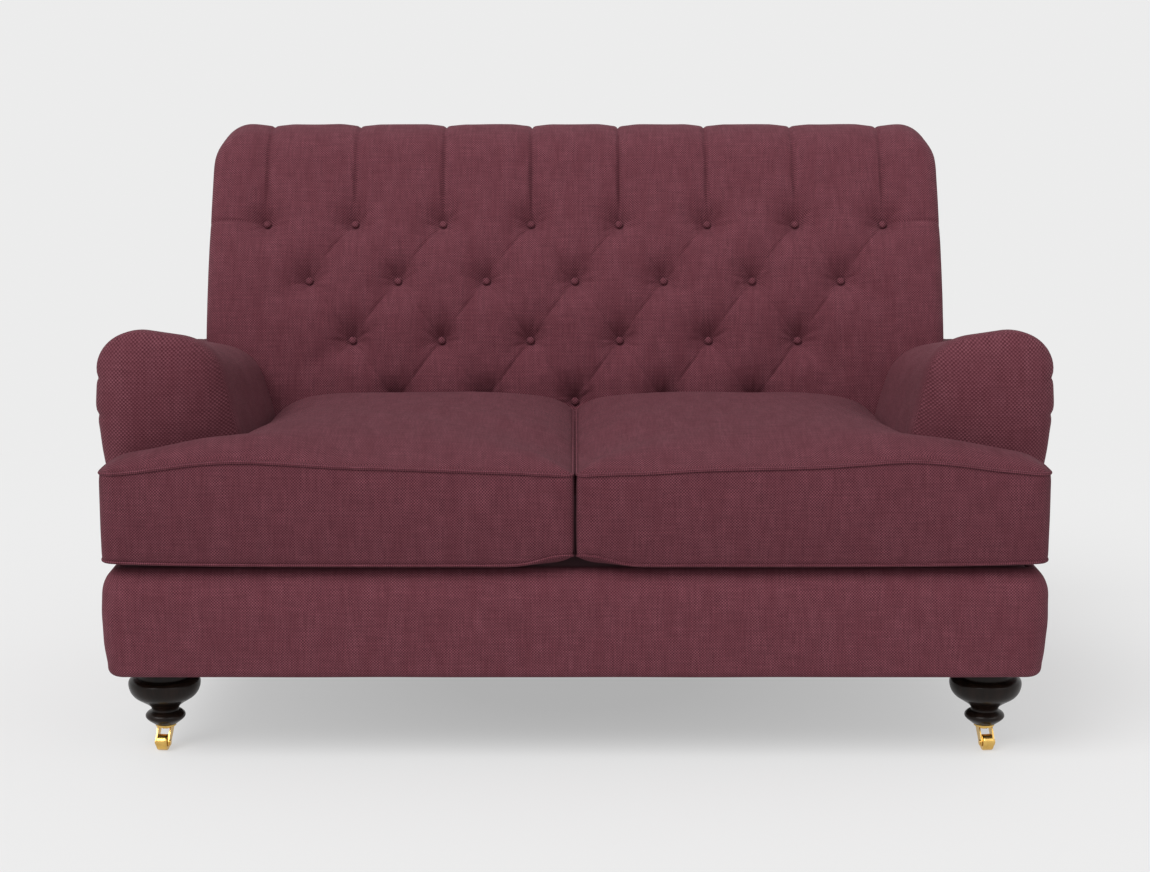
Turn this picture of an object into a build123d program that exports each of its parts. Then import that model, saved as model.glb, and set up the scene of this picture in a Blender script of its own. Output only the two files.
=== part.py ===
"""Two-seater sofa: deep-buttoned back, low rolled arms, loose T-shaped cushions, castored front legs.

Millimetres. X runs to the viewer's right, Y to the back, Z up, with the origin on the floor
under the middle of the sofa.
"""
import os
from math import atan2, cos, degrees, hypot, radians, sin, sqrt, tan

from build123d import *

os.makedirs("parts", exist_ok=True)

# Base
base_width = 1440
base_depth = 800
ground_clearance = 137
border_height = 165
border_pad = 34
border_corner_round = 30
border_top_round = 28
border_low_round = 12

# Seat frame
rail_thickness = 28
rail_height = 110
block_reach = 150
block_height = 50
webbing_width = 50
webbing_thickness = 2
long_strap_count = 9
long_strap_pitch = 130
cross_strap_count = 4
cross_strap_pitch = 105
deck_thickness = 28
dust_cover_thickness = 1.5

# Arms
arm_setback = 104
arm_inner_foot = 538
arm_inner_bulge = 521
arm_outer_bulge = 745
arm_outer_foot = 716
arm_front_height = 658
arm_seat_height = 580
arm_rear_height = 541
arm_inner_waist = 0.45
arm_outer_waist = 0.69
arm_inner_slope = 34
arm_inner_fall = 16
arm_outer_slope = 8
arm_outer_rise = 6
arm_inner_round = 78
arm_outer_round = 60
arm_side_round = 110
arm_front_round = 34
arm_frame_thickness = 30
arm_post_width = 60
arm_front_pad = 48
arm_top_pad = 74
arm_rail_height = 45
arm_bolt_radius = 4
arm_bolt_head_radius = 8
arm_bolt_head_height = 5

# Back
overall_height = 937
back_width = 1302
seat_depth = 570
lumbar_lean = 8.5
lumbar_run = 166
bow_radius = 900
row_pitch = 110
roll_radius = 105
back_end_round = 50
outside_lean = 10
outside_panel_thickness = 8
outside_panel_inset = 4
back_side_pad = 31
back_post_thickness = 30
back_front_pad = 110
back_frame_lean = 13
back_post_top = 770
back_rail_height = 50

# Buttoning: rows from the top down
button_counts = (8, 7, 6, 5)
button_pitch = 157
button_radius = 8
button_height = 6
button_round = 2.5
tuft_depth = 24
tuft_reach = 64
tuft_swell = 4
pleat_reach = 60
pleat_depth = 9
pleat_swell = 2.5
roll_pleat_reach = 36
roll_pleat_depth = 7
roll_pleat_swell = 2
pleat_lift = 4

# Cushions
cushion_overhang = 8
cushion_gap = 3
cushion_edge_height = 143
cushion_crown_height = 180
cushion_crown_setback = 360
cushion_corner_round = 26
cushion_notch_round = 18
cushion_edge_round = 9
cushion_draw_in = 4
cushion_wall = 16
cushion_side_gap = 1

# Front legs, turned: radius and height of each feature
leg_x = 640
leg_setback = 90
leg_foot_radius = 17.5
leg_ring_radius = 31
leg_ring_height = 53
leg_ring_half = 5.5
leg_ring_step = 3.5
leg_neck_radius = 21
leg_neck_height = 61
leg_bulge_radius = 56.5
leg_bulge_height = 99
leg_shoulder_radius = 47
leg_shoulder_height = 111
leg_collar_radius = 42
leg_bolt_radius = 5
leg_bolt_depth = 40
leg_nut_height = 9
leg_nut_width = 17

# Rear legs
rear_leg_top_width = 56
rear_leg_foot_width = 36
rear_leg_rake = 60
rear_screw_radius = 5
rear_screw_reach = 38

# Castors
wheel_radius = 12.5
wheel_width = 17
wheel_round = 2.5
castor_height = 37.5
castor_trail = 18
castor_turn = 6
plate_radius = 16
plate_thickness = 2.5
stem_radius = 5
stem_reach = 38
pivot_radius = 4
pivot_head_radius = 6.5
pivot_head_height = 2
crown_thickness = 2.5
fork_plate_thickness = 2
fork_plate_radius = 6.5
fork_crown_radius = 10
axle_radius = 2.5
axle_head_radius = 4
axle_head_height = 1.5

# Clearances
soft_gap = 0.4
wood_gap = 0.3
running_gap = 0.05
fork_gap = 0.4

# Heights of the stacked layers of the seat
base_top = ground_clearance + border_height
deck_bottom = base_top - deck_thickness
rail_top = deck_bottom - 2 * webbing_thickness
rail_bottom = rail_top - rail_height
block_top = rail_bottom + block_height

# Side profile of the back, as y from the front of the base, and z
turn_per_mm = degrees(1 / bow_radius)
row_count = len(button_counts)
bow_run = (row_count - 1) * row_pitch
top_lean = lumbar_lean + bow_run * turn_per_mm


def inside_back(run):
    """Point and lean of the inside back, run millimetres up from the deck."""
    straight = min(run, lumbar_run)
    y = seat_depth + straight * sin(radians(lumbar_lean))
    z = base_top + straight * cos(radians(lumbar_lean))
    lean = lumbar_lean + max(run - lumbar_run, 0) * turn_per_mm
    y += bow_radius * (cos(radians(lumbar_lean)) - cos(radians(lean)))
    z += bow_radius * (sin(radians(lean)) - sin(radians(lumbar_lean)))
    return y, z, lean


def outside_back(z, inset=0):
    """How far back the outside of the back, or a plane set in from it, stands at height z."""
    lean = radians(outside_lean)
    return base_depth + (z - base_top) * tan(lean) - inset / cos(lean)


def back_frame_front(z):
    """How far back the front of the back frame stands at height z."""
    rise = max(z - base_top, 0)
    return seat_depth + back_front_pad + rise * tan(radians(back_frame_lean))


top_row_y, top_row_z, _ = inside_back(lumbar_run + bow_run)
roll_rise = roll_radius * (1 - sin(radians(top_lean)))
roll_run = (overall_height - roll_rise - top_row_z) / cos(radians(top_lean))
roll_start_y = top_row_y + roll_run * sin(radians(top_lean))
roll_start_z = top_row_z + roll_run * cos(radians(top_lean))
roll_y = roll_start_y + roll_radius * cos(radians(top_lean))
roll_z = overall_height - roll_radius


def roll_meets(inset):
    """Where the underside of the roll meets the outside back, or a plane set in from it."""
    lean = radians(outside_lean)
    gap_y = roll_y - base_depth
    gap_z = roll_z - base_top
    ahead = inset + gap_y * cos(lean) - gap_z * sin(lean)
    run = gap_y * sin(lean) + gap_z * cos(lean) - sqrt(roll_radius**2 - ahead**2)
    y = base_depth - inset * cos(lean) + run * sin(lean)
    z = base_top + inset * sin(lean) + run * cos(lean)
    return y, z


roll_end_y, roll_end_z = roll_meets(outside_panel_thickness)
roll_turn = 180 - top_lean - degrees(atan2(roll_end_z - roll_z, roll_end_y - roll_y))

# The origin lies midway between the cushion fronts and the rear of the roll
overall_depth = cushion_overhang + roll_y + roll_radius
front = cushion_overhang - overall_depth / 2
rear = front + base_depth
frame_half = base_width / 2 - border_pad
rail_inner = frame_half - rail_thickness
rail_front = front + border_pad
rail_rear = rear - border_pad
arm_front = front + arm_setback
arm_post_front = arm_front + arm_front_pad
arm_post_rear = rail_rear - rail_thickness
arm_frame_inner = rail_inner - arm_frame_thickness
back_post_outer = back_width / 2 - back_side_pad
back_post_inner = back_post_outer - back_post_thickness
leg_y = front + leg_setback
side_plane = Plane.YZ.offset
tuft_rows = [inside_back(lumbar_run + bow_run - row * row_pitch) for row in range(row_count)]
row_places = [
    [(column - (count - 1) / 2) * button_pitch for column in range(count)] for count in button_counts
]


def keep(piece, name):
    """Label a finished piece and write its file."""
    piece.part.label = name
    export_step(piece.part, f"parts/{name}.step")


def bar(x, y, z):
    """Rectangular bar between the two given limits on each axis."""
    with BuildSketch(Plane.XY.offset(z[0])) as outline:
        with Locations(((x[0] + x[1]) / 2, (y[0] + y[1]) / 2)):
            Rectangle(x[1] - x[0], y[1] - y[0])
    extrude(outline.sketch, amount=z[1] - z[0])


def side_plate(x, outline, mode=Mode.ADD):
    """Plate between two x limits, cut to an outline of y and z as seen from the side."""
    with BuildSketch(Plane.YZ.offset(x[0])) as plate:
        with BuildLine():
            Polyline(*outline, close=True)
        make_face()
    extrude(plate.sketch, amount=x[1] - x[0], mode=mode)


# Seat frame
with BuildPart() as front_rail:
    bar((-frame_half, frame_half), (rail_front, rail_front + rail_thickness), (rail_bottom, rail_top))
keep(front_rail, "front_rail")

with BuildPart() as rear_rail:
    bar((-frame_half, frame_half), (rail_rear - rail_thickness, rail_rear), (rail_bottom, rail_top))
keep(rear_rail, "rear_rail")

arm_post_middles = (arm_post_front + arm_post_width / 2, arm_post_rear - arm_post_width / 2)
arm_bolt_z = (block_top + rail_top) / 2
with BuildPart() as right_rail:
    bar((rail_inner, frame_half), (rail_front + rail_thickness, arm_post_rear), (rail_bottom, rail_top))
    with BuildSketch(side_plane(rail_inner)):
        with Locations(*[(y, arm_bolt_z) for y in arm_post_middles]):
            Circle(arm_bolt_radius + wood_gap)
    extrude(amount=rail_thickness, mode=Mode.SUBTRACT)
keep(right_rail, "right_rail")

with BuildPart() as left_rail:
    mirror(right_rail.part, about=Plane.YZ)
keep(left_rail, "left_rail")

with BuildPart() as centre_rail:
    bar(
        (-rail_thickness / 2, rail_thickness / 2),
        (rail_front + rail_thickness, arm_post_rear),
        (rail_bottom, rail_top),
    )
keep(centre_rail, "centre_rail")

rear_leg_y = arm_post_rear - leg_setback + border_pad + rail_thickness
with BuildPart() as corner_blocks:
    for corner_y, inward in ((rail_front + rail_thickness, 1), (arm_post_rear, -1)):
        with BuildSketch(Plane.XY.offset(rail_bottom)):
            with BuildLine():
                Polyline(
                    (rail_inner, corner_y),
                    (rail_inner - block_reach, corner_y),
                    (rail_inner, corner_y + inward * block_reach),
                    close=True,
                )
            make_face()
        extrude(amount=block_height)
    with BuildSketch(Plane.XY.offset(rail_bottom)):
        with Locations((leg_x, leg_y)):
            Circle(leg_bolt_radius + wood_gap)
    extrude(amount=block_height, mode=Mode.SUBTRACT)
    with BuildSketch(Plane.XY.offset(rail_bottom)):
        with Locations((leg_x, rear_leg_y)):
            Circle(rear_screw_radius + wood_gap)
    extrude(amount=rear_screw_reach + wood_gap, mode=Mode.SUBTRACT)
    mirror(about=Plane.YZ)
keep(corner_blocks, "corner_blocks")


# Arm frames
def arm_frame_top(y):
    """Height of the top of the arm frame, which falls towards the back."""
    share = (y - arm_post_front) / (arm_post_rear - arm_post_front)
    return arm_front_height - arm_top_pad - share * (arm_front_height - arm_seat_height)


arm_frame_x = (arm_frame_inner, rail_inner)
for end, y_start in (("front", arm_post_front), ("rear", arm_post_rear - arm_post_width)):
    y_end = y_start + arm_post_width
    with BuildPart() as right_post:
        side_plate(
            arm_frame_x,
            (
                (y_start, block_top),
                (y_end, block_top),
                (y_end, arm_frame_top(y_end) - arm_rail_height),
                (y_start, arm_frame_top(y_start) - arm_rail_height),
            ),
        )
        with BuildSketch(side_plane(arm_frame_inner)):
            with Locations((y_start + arm_post_width / 2, arm_bolt_z)):
                Circle(arm_bolt_radius + wood_gap)
        extrude(amount=arm_frame_thickness, mode=Mode.SUBTRACT)
    keep(right_post, f"right_arm_{end}_post")
    with BuildPart() as left_post:
        mirror(right_post.part, about=Plane.YZ)
    keep(left_post, f"left_arm_{end}_post")

with BuildPart() as right_arm_top_rail:
    side_plate(
        arm_frame_x,
        (
            (arm_post_front, arm_frame_top(arm_post_front) - arm_rail_height),
            (arm_post_rear, arm_frame_top(arm_post_rear) - arm_rail_height),
            (arm_post_rear, arm_frame_top(arm_post_rear)),
            (arm_post_front, arm_frame_top(arm_post_front)),
        ),
    )
keep(right_arm_top_rail, "right_arm_top_rail")

with BuildPart() as left_arm_top_rail:
    mirror(right_arm_top_rail.part, about=Plane.YZ)
keep(left_arm_top_rail, "left_arm_top_rail")

with BuildPart() as right_arm_lower_rail:
    bar(
        arm_frame_x,
        (arm_post_front + arm_post_width, arm_post_rear - arm_post_width),
        (base_top, base_top + arm_rail_height),
    )
keep(right_arm_lower_rail, "right_arm_lower_rail")

with BuildPart() as left_arm_lower_rail:
    mirror(right_arm_lower_rail.part, about=Plane.YZ)
keep(left_arm_lower_rail, "left_arm_lower_rail")

with BuildPart() as arm_bolts:
    with BuildSketch(side_plane(arm_frame_inner - arm_bolt_head_height)):
        with Locations(*[(y, arm_bolt_z) for y in arm_post_middles]):
            Circle(arm_bolt_head_radius)
    extrude(amount=arm_bolt_head_height)
    with BuildSketch(side_plane(arm_frame_inner)):
        with Locations(*[(y, arm_bolt_z) for y in arm_post_middles]):
            Circle(arm_bolt_radius)
    extrude(amount=arm_frame_thickness + rail_thickness)
    mirror(about=Plane.YZ)
keep(arm_bolts, "arm_bolts")

# Back frame
back_post_outline = (
    (front + back_frame_front(block_top), block_top),
    (arm_post_rear, block_top),
    (arm_post_rear, rail_top),
    (rail_rear, rail_top),
    (rail_rear, base_top),
    (front + outside_back(base_top, outside_panel_thickness), base_top),
    (front + outside_back(back_post_top, outside_panel_thickness), back_post_top),
    (front + back_frame_front(back_post_top), back_post_top),
    (front + back_frame_front(base_top), base_top),
)
with BuildPart() as right_back_post:
    side_plate((back_post_inner, back_post_outer), back_post_outline)
keep(right_back_post, "right_back_post")

with BuildPart() as left_back_post:
    mirror(right_back_post.part, about=Plane.YZ)
keep(left_back_post, "left_back_post")

back_rail_rear = front + outside_back(back_post_top, outside_panel_thickness)
back_rail_front = front + back_frame_front(back_post_top)
with BuildPart() as back_top_rail:
    bar(
        (-back_post_outer, back_post_outer),
        (back_rail_front, back_rail_rear),
        (back_post_top, back_post_top + back_rail_height),
    )
keep(back_top_rail, "back_top_rail")


def back_frame_slice(low, high):
    """Outline of a rail or stay that follows the lean of the front of the back frame."""
    return (
        (front + back_frame_front(low), low),
        (front + back_frame_front(low) + rail_thickness, low),
        (front + back_frame_front(high) + rail_thickness, high),
        (front + back_frame_front(high), high),
    )


back_lower_top = base_top + back_rail_height
with BuildPart() as back_lower_rail:
    side_plate((-back_post_inner, back_post_inner), back_frame_slice(base_top, back_lower_top))
keep(back_lower_rail, "back_lower_rail")

with BuildPart() as back_centre_post:
    side_plate(
        (-back_post_thickness / 2, back_post_thickness / 2),
        back_frame_slice(back_lower_top, back_post_top),
    )
keep(back_centre_post, "back_centre_post")

# Webbing
with BuildPart() as seat_webbing_long:
    for column in range(long_strap_count):
        strap_x = (column - (long_strap_count - 1) / 2) * long_strap_pitch
        bar(
            (strap_x - webbing_width / 2, strap_x + webbing_width / 2),
            (rail_front, rail_rear),
            (rail_top, rail_top + webbing_thickness),
        )
keep(seat_webbing_long, "seat_webbing_long")

cross_middle = sum(arm_post_middles) / 2
with BuildPart() as seat_webbing_cross:
    for row in range(cross_strap_count):
        strap_y = cross_middle + (row - (cross_strap_count - 1) / 2) * cross_strap_pitch
        bar(
            (-frame_half, frame_half),
            (strap_y - webbing_width / 2, strap_y + webbing_width / 2),
            (rail_top + webbing_thickness, deck_bottom),
        )
keep(seat_webbing_cross, "seat_webbing_cross")

frame_out = (0, -cos(radians(back_frame_lean)), sin(radians(back_frame_lean)))
back_frame_plane = Plane(
    origin=(0, front + back_frame_front(base_top), base_top), x_dir=(1, 0, 0), z_dir=frame_out
)
back_frame_length = (back_post_top - base_top) / cos(radians(back_frame_lean))
with BuildPart() as back_webbing_upright:
    with BuildSketch(back_frame_plane):
        for column in range(long_strap_count - 1):
            strap_x = (column - (long_strap_count - 2) / 2) * long_strap_pitch
            with Locations((strap_x, back_frame_length / 2)):
                Rectangle(webbing_width, back_frame_length)
    extrude(amount=webbing_thickness)
keep(back_webbing_upright, "back_webbing_upright")

with BuildPart() as back_webbing_cross:
    with BuildSketch(back_frame_plane.offset(webbing_thickness)):
        for row in range(cross_strap_count):
            strap_up = back_frame_length / 2 + (row - (cross_strap_count - 1) / 2) * cross_strap_pitch
            with Locations((0, strap_up)):
                Rectangle(2 * back_post_outer, webbing_width)
    extrude(amount=webbing_thickness)
keep(back_webbing_cross, "back_webbing_cross")

# Padded seat platform and the cloth under the frame
deck_rear = front + back_frame_front(base_top) - 2 * webbing_thickness - soft_gap
with BuildPart() as seat_deck:
    bar((-frame_half, frame_half), (rail_front, deck_rear), (deck_bottom, base_top))
    for post_start in (arm_post_front, arm_post_rear - arm_post_width):
        for inner, outer in (arm_frame_x, (-arm_frame_x[1], -arm_frame_x[0])):
            with BuildSketch(Plane.XY.offset(deck_bottom)):
                with Locations(((inner + outer) / 2, post_start + arm_post_width / 2)):
                    Rectangle(arm_frame_thickness + 2 * wood_gap, arm_post_width + 2 * wood_gap)
            extrude(amount=deck_thickness, mode=Mode.SUBTRACT)
keep(seat_deck, "seat_deck")

with BuildPart() as dust_cover:
    bar(
        (-frame_half, frame_half),
        (rail_front, rail_rear),
        (rail_bottom - dust_cover_thickness, rail_bottom),
    )
    for side in (-1, 1):
        with BuildSketch(Plane.XY.offset(rail_bottom - dust_cover_thickness)):
            with Locations((side * leg_x, leg_y)):
                Circle(leg_collar_radius + soft_gap)
            with Locations((side * leg_x, rear_leg_y)):
                Rectangle(rear_leg_top_width + 2 * soft_gap, rear_leg_top_width + 4 * soft_gap)
        extrude(amount=dust_cover_thickness, mode=Mode.SUBTRACT)
keep(dust_cover, "dust_cover")

# Padded borders of the base
with BuildPart() as front_border:
    bar((-base_width / 2, base_width / 2), (front, rail_front), (ground_clearance, base_top))
    fillet(front_border.edges().filter_by(Axis.Z).group_by(Axis.Y)[0], border_corner_round)
    fillet(front_border.faces().sort_by(Axis.Z)[-1].edges().sort_by(Axis.Y)[:-1], border_top_round)
    fillet(front_border.faces().sort_by(Axis.Z)[0].edges().sort_by(Axis.Y)[:-1], border_low_round)
keep(front_border, "front_border")

with BuildPart() as rear_border:
    mirror(front_border.part, about=Plane.XZ.offset(-(front + rear) / 2))
keep(rear_border, "rear_border")

with BuildPart() as right_border:
    bar((frame_half, base_width / 2), (rail_front, rail_rear), (ground_clearance, base_top))
    outer_edges = right_border.edges().filter_by(Axis.Y).group_by(Axis.X)[-1].sort_by(Axis.Z)
    fillet(outer_edges[-1], border_top_round)
    outer_edges = right_border.faces().sort_by(Axis.Z)[0].edges().filter_by(Axis.Y).sort_by(Axis.X)
    fillet(outer_edges[-1], border_low_round)
keep(right_border, "right_border")

with BuildPart() as left_border:
    mirror(right_border.part, about=Plane.YZ)
keep(left_border, "left_border")


# Arm pads
def arm_section(y, top, grow=0):
    """Cross-section of the right arm at y: a bulging inside, a domed top and a rolled outside."""
    foot = base_top
    rise = top - foot
    inner_waist = foot + arm_inner_waist * rise
    outer_waist = foot + arm_outer_waist * rise
    with BuildSketch(Plane(origin=(0, y, 0), x_dir=(1, 0, 0), z_dir=(0, -1, 0))) as section:
        with BuildLine():
            FilletPolyline(
                (arm_inner_foot, foot),
                (arm_inner_bulge, inner_waist),
                (arm_inner_bulge + arm_inner_slope, top - arm_inner_fall),
                (arm_outer_bulge - arm_outer_slope, top + arm_outer_rise),
                (arm_outer_bulge, outer_waist),
                (arm_outer_foot, foot),
                radius=(0, arm_side_round, arm_inner_round, arm_outer_round, arm_side_round, 0),
                close=True,
            )
        make_face()
        if grow:
            offset(amount=grow)
    return section.sketch


arm_end = front + outside_back(arm_front_height)
arm_sections = (
    (arm_front, arm_front_height),
    (front + seat_depth, arm_seat_height),
    (arm_end, arm_rear_height),
)
back_pocket = (
    (front + back_frame_front(base_top) - soft_gap - 2 * webbing_thickness, base_top - soft_gap),
    (back_rail_front - soft_gap - 2 * webbing_thickness, back_post_top),
    (back_rail_front - soft_gap - 2 * webbing_thickness, back_post_top + back_rail_height + soft_gap),
    (back_rail_rear + soft_gap, back_post_top + back_rail_height + soft_gap),
    (back_rail_rear + soft_gap, back_post_top),
    (front + outside_back(base_top), base_top - soft_gap),
)
pocket_half = back_post_outer + soft_gap
panel_plane = Plane(
    origin=(0, front + outside_back(base_top, outside_panel_thickness), base_top),
    x_dir=(1, 0, 0),
    z_dir=(0, cos(radians(outside_lean)), -sin(radians(outside_lean))),
)
with BuildPart() as right_arm_pad:
    loft([arm_section(*place) for place in arm_sections])
    front_edges = right_arm_pad.faces().sort_by(Axis.Y)[0].edges().sort_by(Axis.Z)[1:]
    fillet(front_edges, arm_front_round)
    side_plate(
        (arm_frame_inner - soft_gap, rail_inner + soft_gap),
        (
            (arm_post_front - soft_gap, base_top - soft_gap),
            (arm_post_rear + soft_gap, base_top - soft_gap),
            (arm_post_rear + soft_gap, arm_frame_top(arm_post_rear) + soft_gap),
            (arm_post_front - soft_gap, arm_frame_top(arm_post_front) + soft_gap),
        ),
        mode=Mode.SUBTRACT,
    )
    side_plate((-pocket_half, pocket_half), back_pocket, mode=Mode.SUBTRACT)
    split(bisect_by=panel_plane.offset(-soft_gap), keep=Keep.BOTTOM)
    split(bisect_by=Plane.XY.offset(base_top + soft_gap), keep=Keep.TOP)
keep(right_arm_pad, "right_arm_pad")

with BuildPart() as left_arm_pad:
    mirror(right_arm_pad.part, about=Plane.YZ)
keep(left_arm_pad, "left_arm_pad")

with BuildPart() as arm_space:
    loft([arm_section(*place, grow=2 * soft_gap) for place in arm_sections])
    mirror(about=Plane.YZ)


# Buttoned back: rounded pleats join the buttons, climb over the roll and run out at the sides
def crease(plane, reach, depth, swell):
    """Section of a pleat: two rounded flanks that meet in a crease, with the surface at zero."""
    with BuildSketch(plane) as section:
        with BuildLine():
            SagittaArc((-reach, pleat_lift), (0, -depth), swell)
            SagittaArc((0, -depth), (reach, pleat_lift), swell)
            Polyline((reach, pleat_lift), (reach, depth), (-reach, depth), (-reach, pleat_lift))
        make_face()
    return section.sketch


def pleat(start, end, lean, reach=pleat_reach, depth=pleat_depth, swell=pleat_swell):
    """Straight pleat between two points of the inside back."""
    outward = Vector(0, -cos(radians(lean)), sin(radians(lean)))
    run = Vector(end) - Vector(start)
    across = Plane(origin=start, x_dir=outward.cross(run), z_dir=run)
    return extrude(crease(across, reach, depth, swell), amount=run.length, mode=Mode.PRIVATE)


def tuft(x, row):
    """Dimple that draws a button in, with a flat seat for it."""
    y, z, lean = tuft_rows[row]
    outward = (0, -cos(radians(lean)), sin(radians(lean)))
    seat_radius = button_radius + 2 * soft_gap
    downhill = Vector(1, 0, 0).cross(Vector(outward))
    section_plane = Plane(origin=(x, front + y, z), x_dir=(1, 0, 0), z_dir=downhill)
    with BuildSketch(section_plane) as section:
        with BuildLine():
            SagittaArc((seat_radius, -tuft_depth), (tuft_reach, pleat_lift), tuft_swell)
            Polyline(
                (tuft_reach, pleat_lift),
                (tuft_reach, tuft_depth),
                (0, tuft_depth),
                (0, -tuft_depth),
                (seat_radius, -tuft_depth),
            )
        make_face()
    return revolve(section.sketch, axis=Axis((x, front + y, z), outward), mode=Mode.PRIVATE)


def on_row(x, row):
    """Point of the inside back at x on a row of buttons."""
    return x, front + tuft_rows[row][0], tuft_rows[row][1]


tufts = [tuft(x, row) for row in range(row_count) for x in row_places[row]]
pleats = []
for row in range(1, row_count):
    lean = (tuft_rows[row - 1][2] + tuft_rows[row][2]) / 2
    for x in row_places[row]:
        for side in (-1, 1):
            pleats.append(pleat(on_row(x, row), on_row(x + side * button_pitch / 2, row - 1), lean))

roll_crease = (roll_pleat_reach, roll_pleat_depth, roll_pleat_swell)
roll_axis = Axis((0, front + roll_y, roll_z), (-1, 0, 0))
for x in row_places[0]:
    roll_start = Vector(x, front + roll_start_y, roll_start_z)
    rise_start = Vector(on_row(x, 0))
    pleats.append(pleat(rise_start, roll_start, top_lean, *roll_crease))
    outward = Vector(0, -cos(radians(top_lean)), sin(radians(top_lean)))
    across = Plane(
        origin=roll_start, x_dir=outward.cross(roll_start - rise_start), z_dir=roll_start - rise_start
    )
    pleats.append(
        revolve(crease(across, *roll_crease), axis=roll_axis, revolution_arc=roll_turn, mode=Mode.PRIVATE)
    )

for side in (-1, 1):
    outer_button = on_row(side * row_places[0][-1], 0)
    pleats.append(pleat(outer_button, on_row(side * back_width / 2, 0), top_lean, *roll_crease))

for x in row_places[-1]:
    foot = (x, front + seat_depth, base_top)
    pleats.append(pleat(on_row(x, row_count - 1), foot, lumbar_lean, *roll_crease))

deck_run = soft_gap / cos(radians(lumbar_lean))
foot_y, foot_z, _ = inside_back(deck_run)
lumbar_y, lumbar_z, _ = inside_back(lumbar_run)
with BuildPart() as tufted_back:
    with BuildSketch(side_plane(-back_width / 2)):
        with BuildLine():
            lumbar = Line((front + foot_y, foot_z), (front + lumbar_y, lumbar_z))
            bow = JernArc(lumbar @ 1, lumbar % 1, bow_radius, lumbar_lean - top_lean)
            rise = Line(bow @ 1, (front + roll_start_y, roll_start_z))
            roll = JernArc(rise @ 1, rise % 1, roll_radius, -roll_turn)
            Polyline(
                roll @ 1, (front + outside_back(foot_z, outside_panel_thickness), foot_z), lumbar @ 0
            )
        make_face()
    extrude(amount=back_width)
    ends = tufted_back.edges().filter_by(lambda edge: abs(edge.center().X) > back_post_outer)
    show_ends = ends.filter_by(
        lambda edge: edge.center().Z > back_post_top
        or (edge.center().Y < front + seat_depth + back_front_pad and edge.center().Z > foot_z + soft_gap)
    )
    fillet(show_ends, back_end_round)
    side_plate((-pocket_half, pocket_half), back_pocket, mode=Mode.SUBTRACT)
    add(arm_space.part, mode=Mode.SUBTRACT)
    for cutter in pleats + tufts:
        add(cutter, mode=Mode.SUBTRACT)
keep(tufted_back, "tufted_back")

with BuildPart() as back_buttons:
    for row, places in enumerate(row_places):
        y, z, lean = tuft_rows[row]
        outward = Vector(0, -cos(radians(lean)), sin(radians(lean)))
        for x in places:
            seat = Vector(x, front + y, z) - outward * tuft_depth
            with BuildSketch(Plane(origin=seat, x_dir=(1, 0, 0), z_dir=outward)):
                Circle(button_radius)
            extrude(amount=button_height)
    crowns = [button.faces().filter_by(GeomType.PLANE).sort_by(Axis.Y)[0] for button in back_buttons.solids()]
    fillet([crown.edge() for crown in crowns], button_round)
keep(back_buttons, "back_buttons")

panel_half = back_width / 2 - outside_panel_inset
panel_top_y, panel_top_z = roll_meets(0)
panel_lean = radians(outside_lean)
panel_lap = soft_gap / cos(panel_lean)
with BuildPart() as outside_back_panel:
    side_plate(
        (-panel_half, panel_half),
        (
            (front + outside_back(foot_z, outside_panel_thickness), foot_z),
            (front + outside_back(foot_z), foot_z),
            (front + outside_back(panel_top_z - panel_lap), panel_top_z - panel_lap),
            (
                front + outside_back(roll_end_z - panel_lap, outside_panel_thickness),
                roll_end_z - panel_lap,
            ),
        ),
    )
keep(outside_back_panel, "outside_back_panel")

# Loose seat cushions: boxed T shapes with a crowned top, over foam cores
cushion_front = front - cushion_overhang
cushion_side = arm_inner_bulge - cushion_side_gap
ear_side = base_width / 2
ear_rear = arm_front - cushion_side_gap
cushion_bottom = base_top + soft_gap
crown_x = cushion_side / 2
crown_y = front + cushion_crown_setback
crown_drop = cushion_crown_height - cushion_edge_height
crown_reach = hypot(ear_side - crown_x, crown_y - cushion_front)
crown_radius = (crown_reach**2 + crown_drop**2) / (2 * crown_drop)
rear_plane = Plane(
    origin=(0, front + seat_depth - cushion_side_gap, base_top),
    x_dir=(1, 0, 0),
    z_dir=(0, cos(radians(lumbar_lean)), -sin(radians(lumbar_lean))),
)
cushion_end = front + seat_depth + cushion_crown_height * tan(radians(lumbar_lean))


def cushion_outline(inset):
    """T-shaped plan of the right cushion, with sides drawn in between the corners."""
    inner = cushion_gap / 2 + inset
    side = cushion_side - inset
    ear = ear_side - inset
    nose = cushion_front + inset
    ear_back = ear_rear - inset
    with BuildSketch(Plane.XY.offset(cushion_bottom + inset)) as plan:
        with BuildLine():
            SagittaArc((inner, nose), (ear, nose), cushion_draw_in)
            Polyline((ear, nose), (ear, ear_back), (side, ear_back))
            SagittaArc((side, ear_back), (side, cushion_end), cushion_draw_in)
            Line((side, cushion_end), (inner, cushion_end))
            SagittaArc((inner, cushion_end), (inner, nose), cushion_draw_in)
        make_face()
        notch = plan.vertices().sort_by_distance((side, ear_back, cushion_bottom + inset))[0]
        fillet(notch, cushion_notch_round)
        for corner in ((inner, nose), (ear, nose), (ear, ear_back)):
            tip = plan.vertices().sort_by_distance((*corner, cushion_bottom + inset))[0]
            fillet(tip, cushion_corner_round - inset)
    return plan.sketch


core_height = cushion_edge_height - 2 * cushion_wall
with BuildPart() as right_cushion_core:
    extrude(cushion_outline(cushion_wall), amount=core_height)
    split(bisect_by=rear_plane.offset(-cushion_wall), keep=Keep.BOTTOM)
keep(right_cushion_core, "right_cushion_core")

with BuildPart() as left_cushion_core:
    mirror(right_cushion_core.part, about=Plane.YZ)
keep(left_cushion_core, "left_cushion_core")

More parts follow.
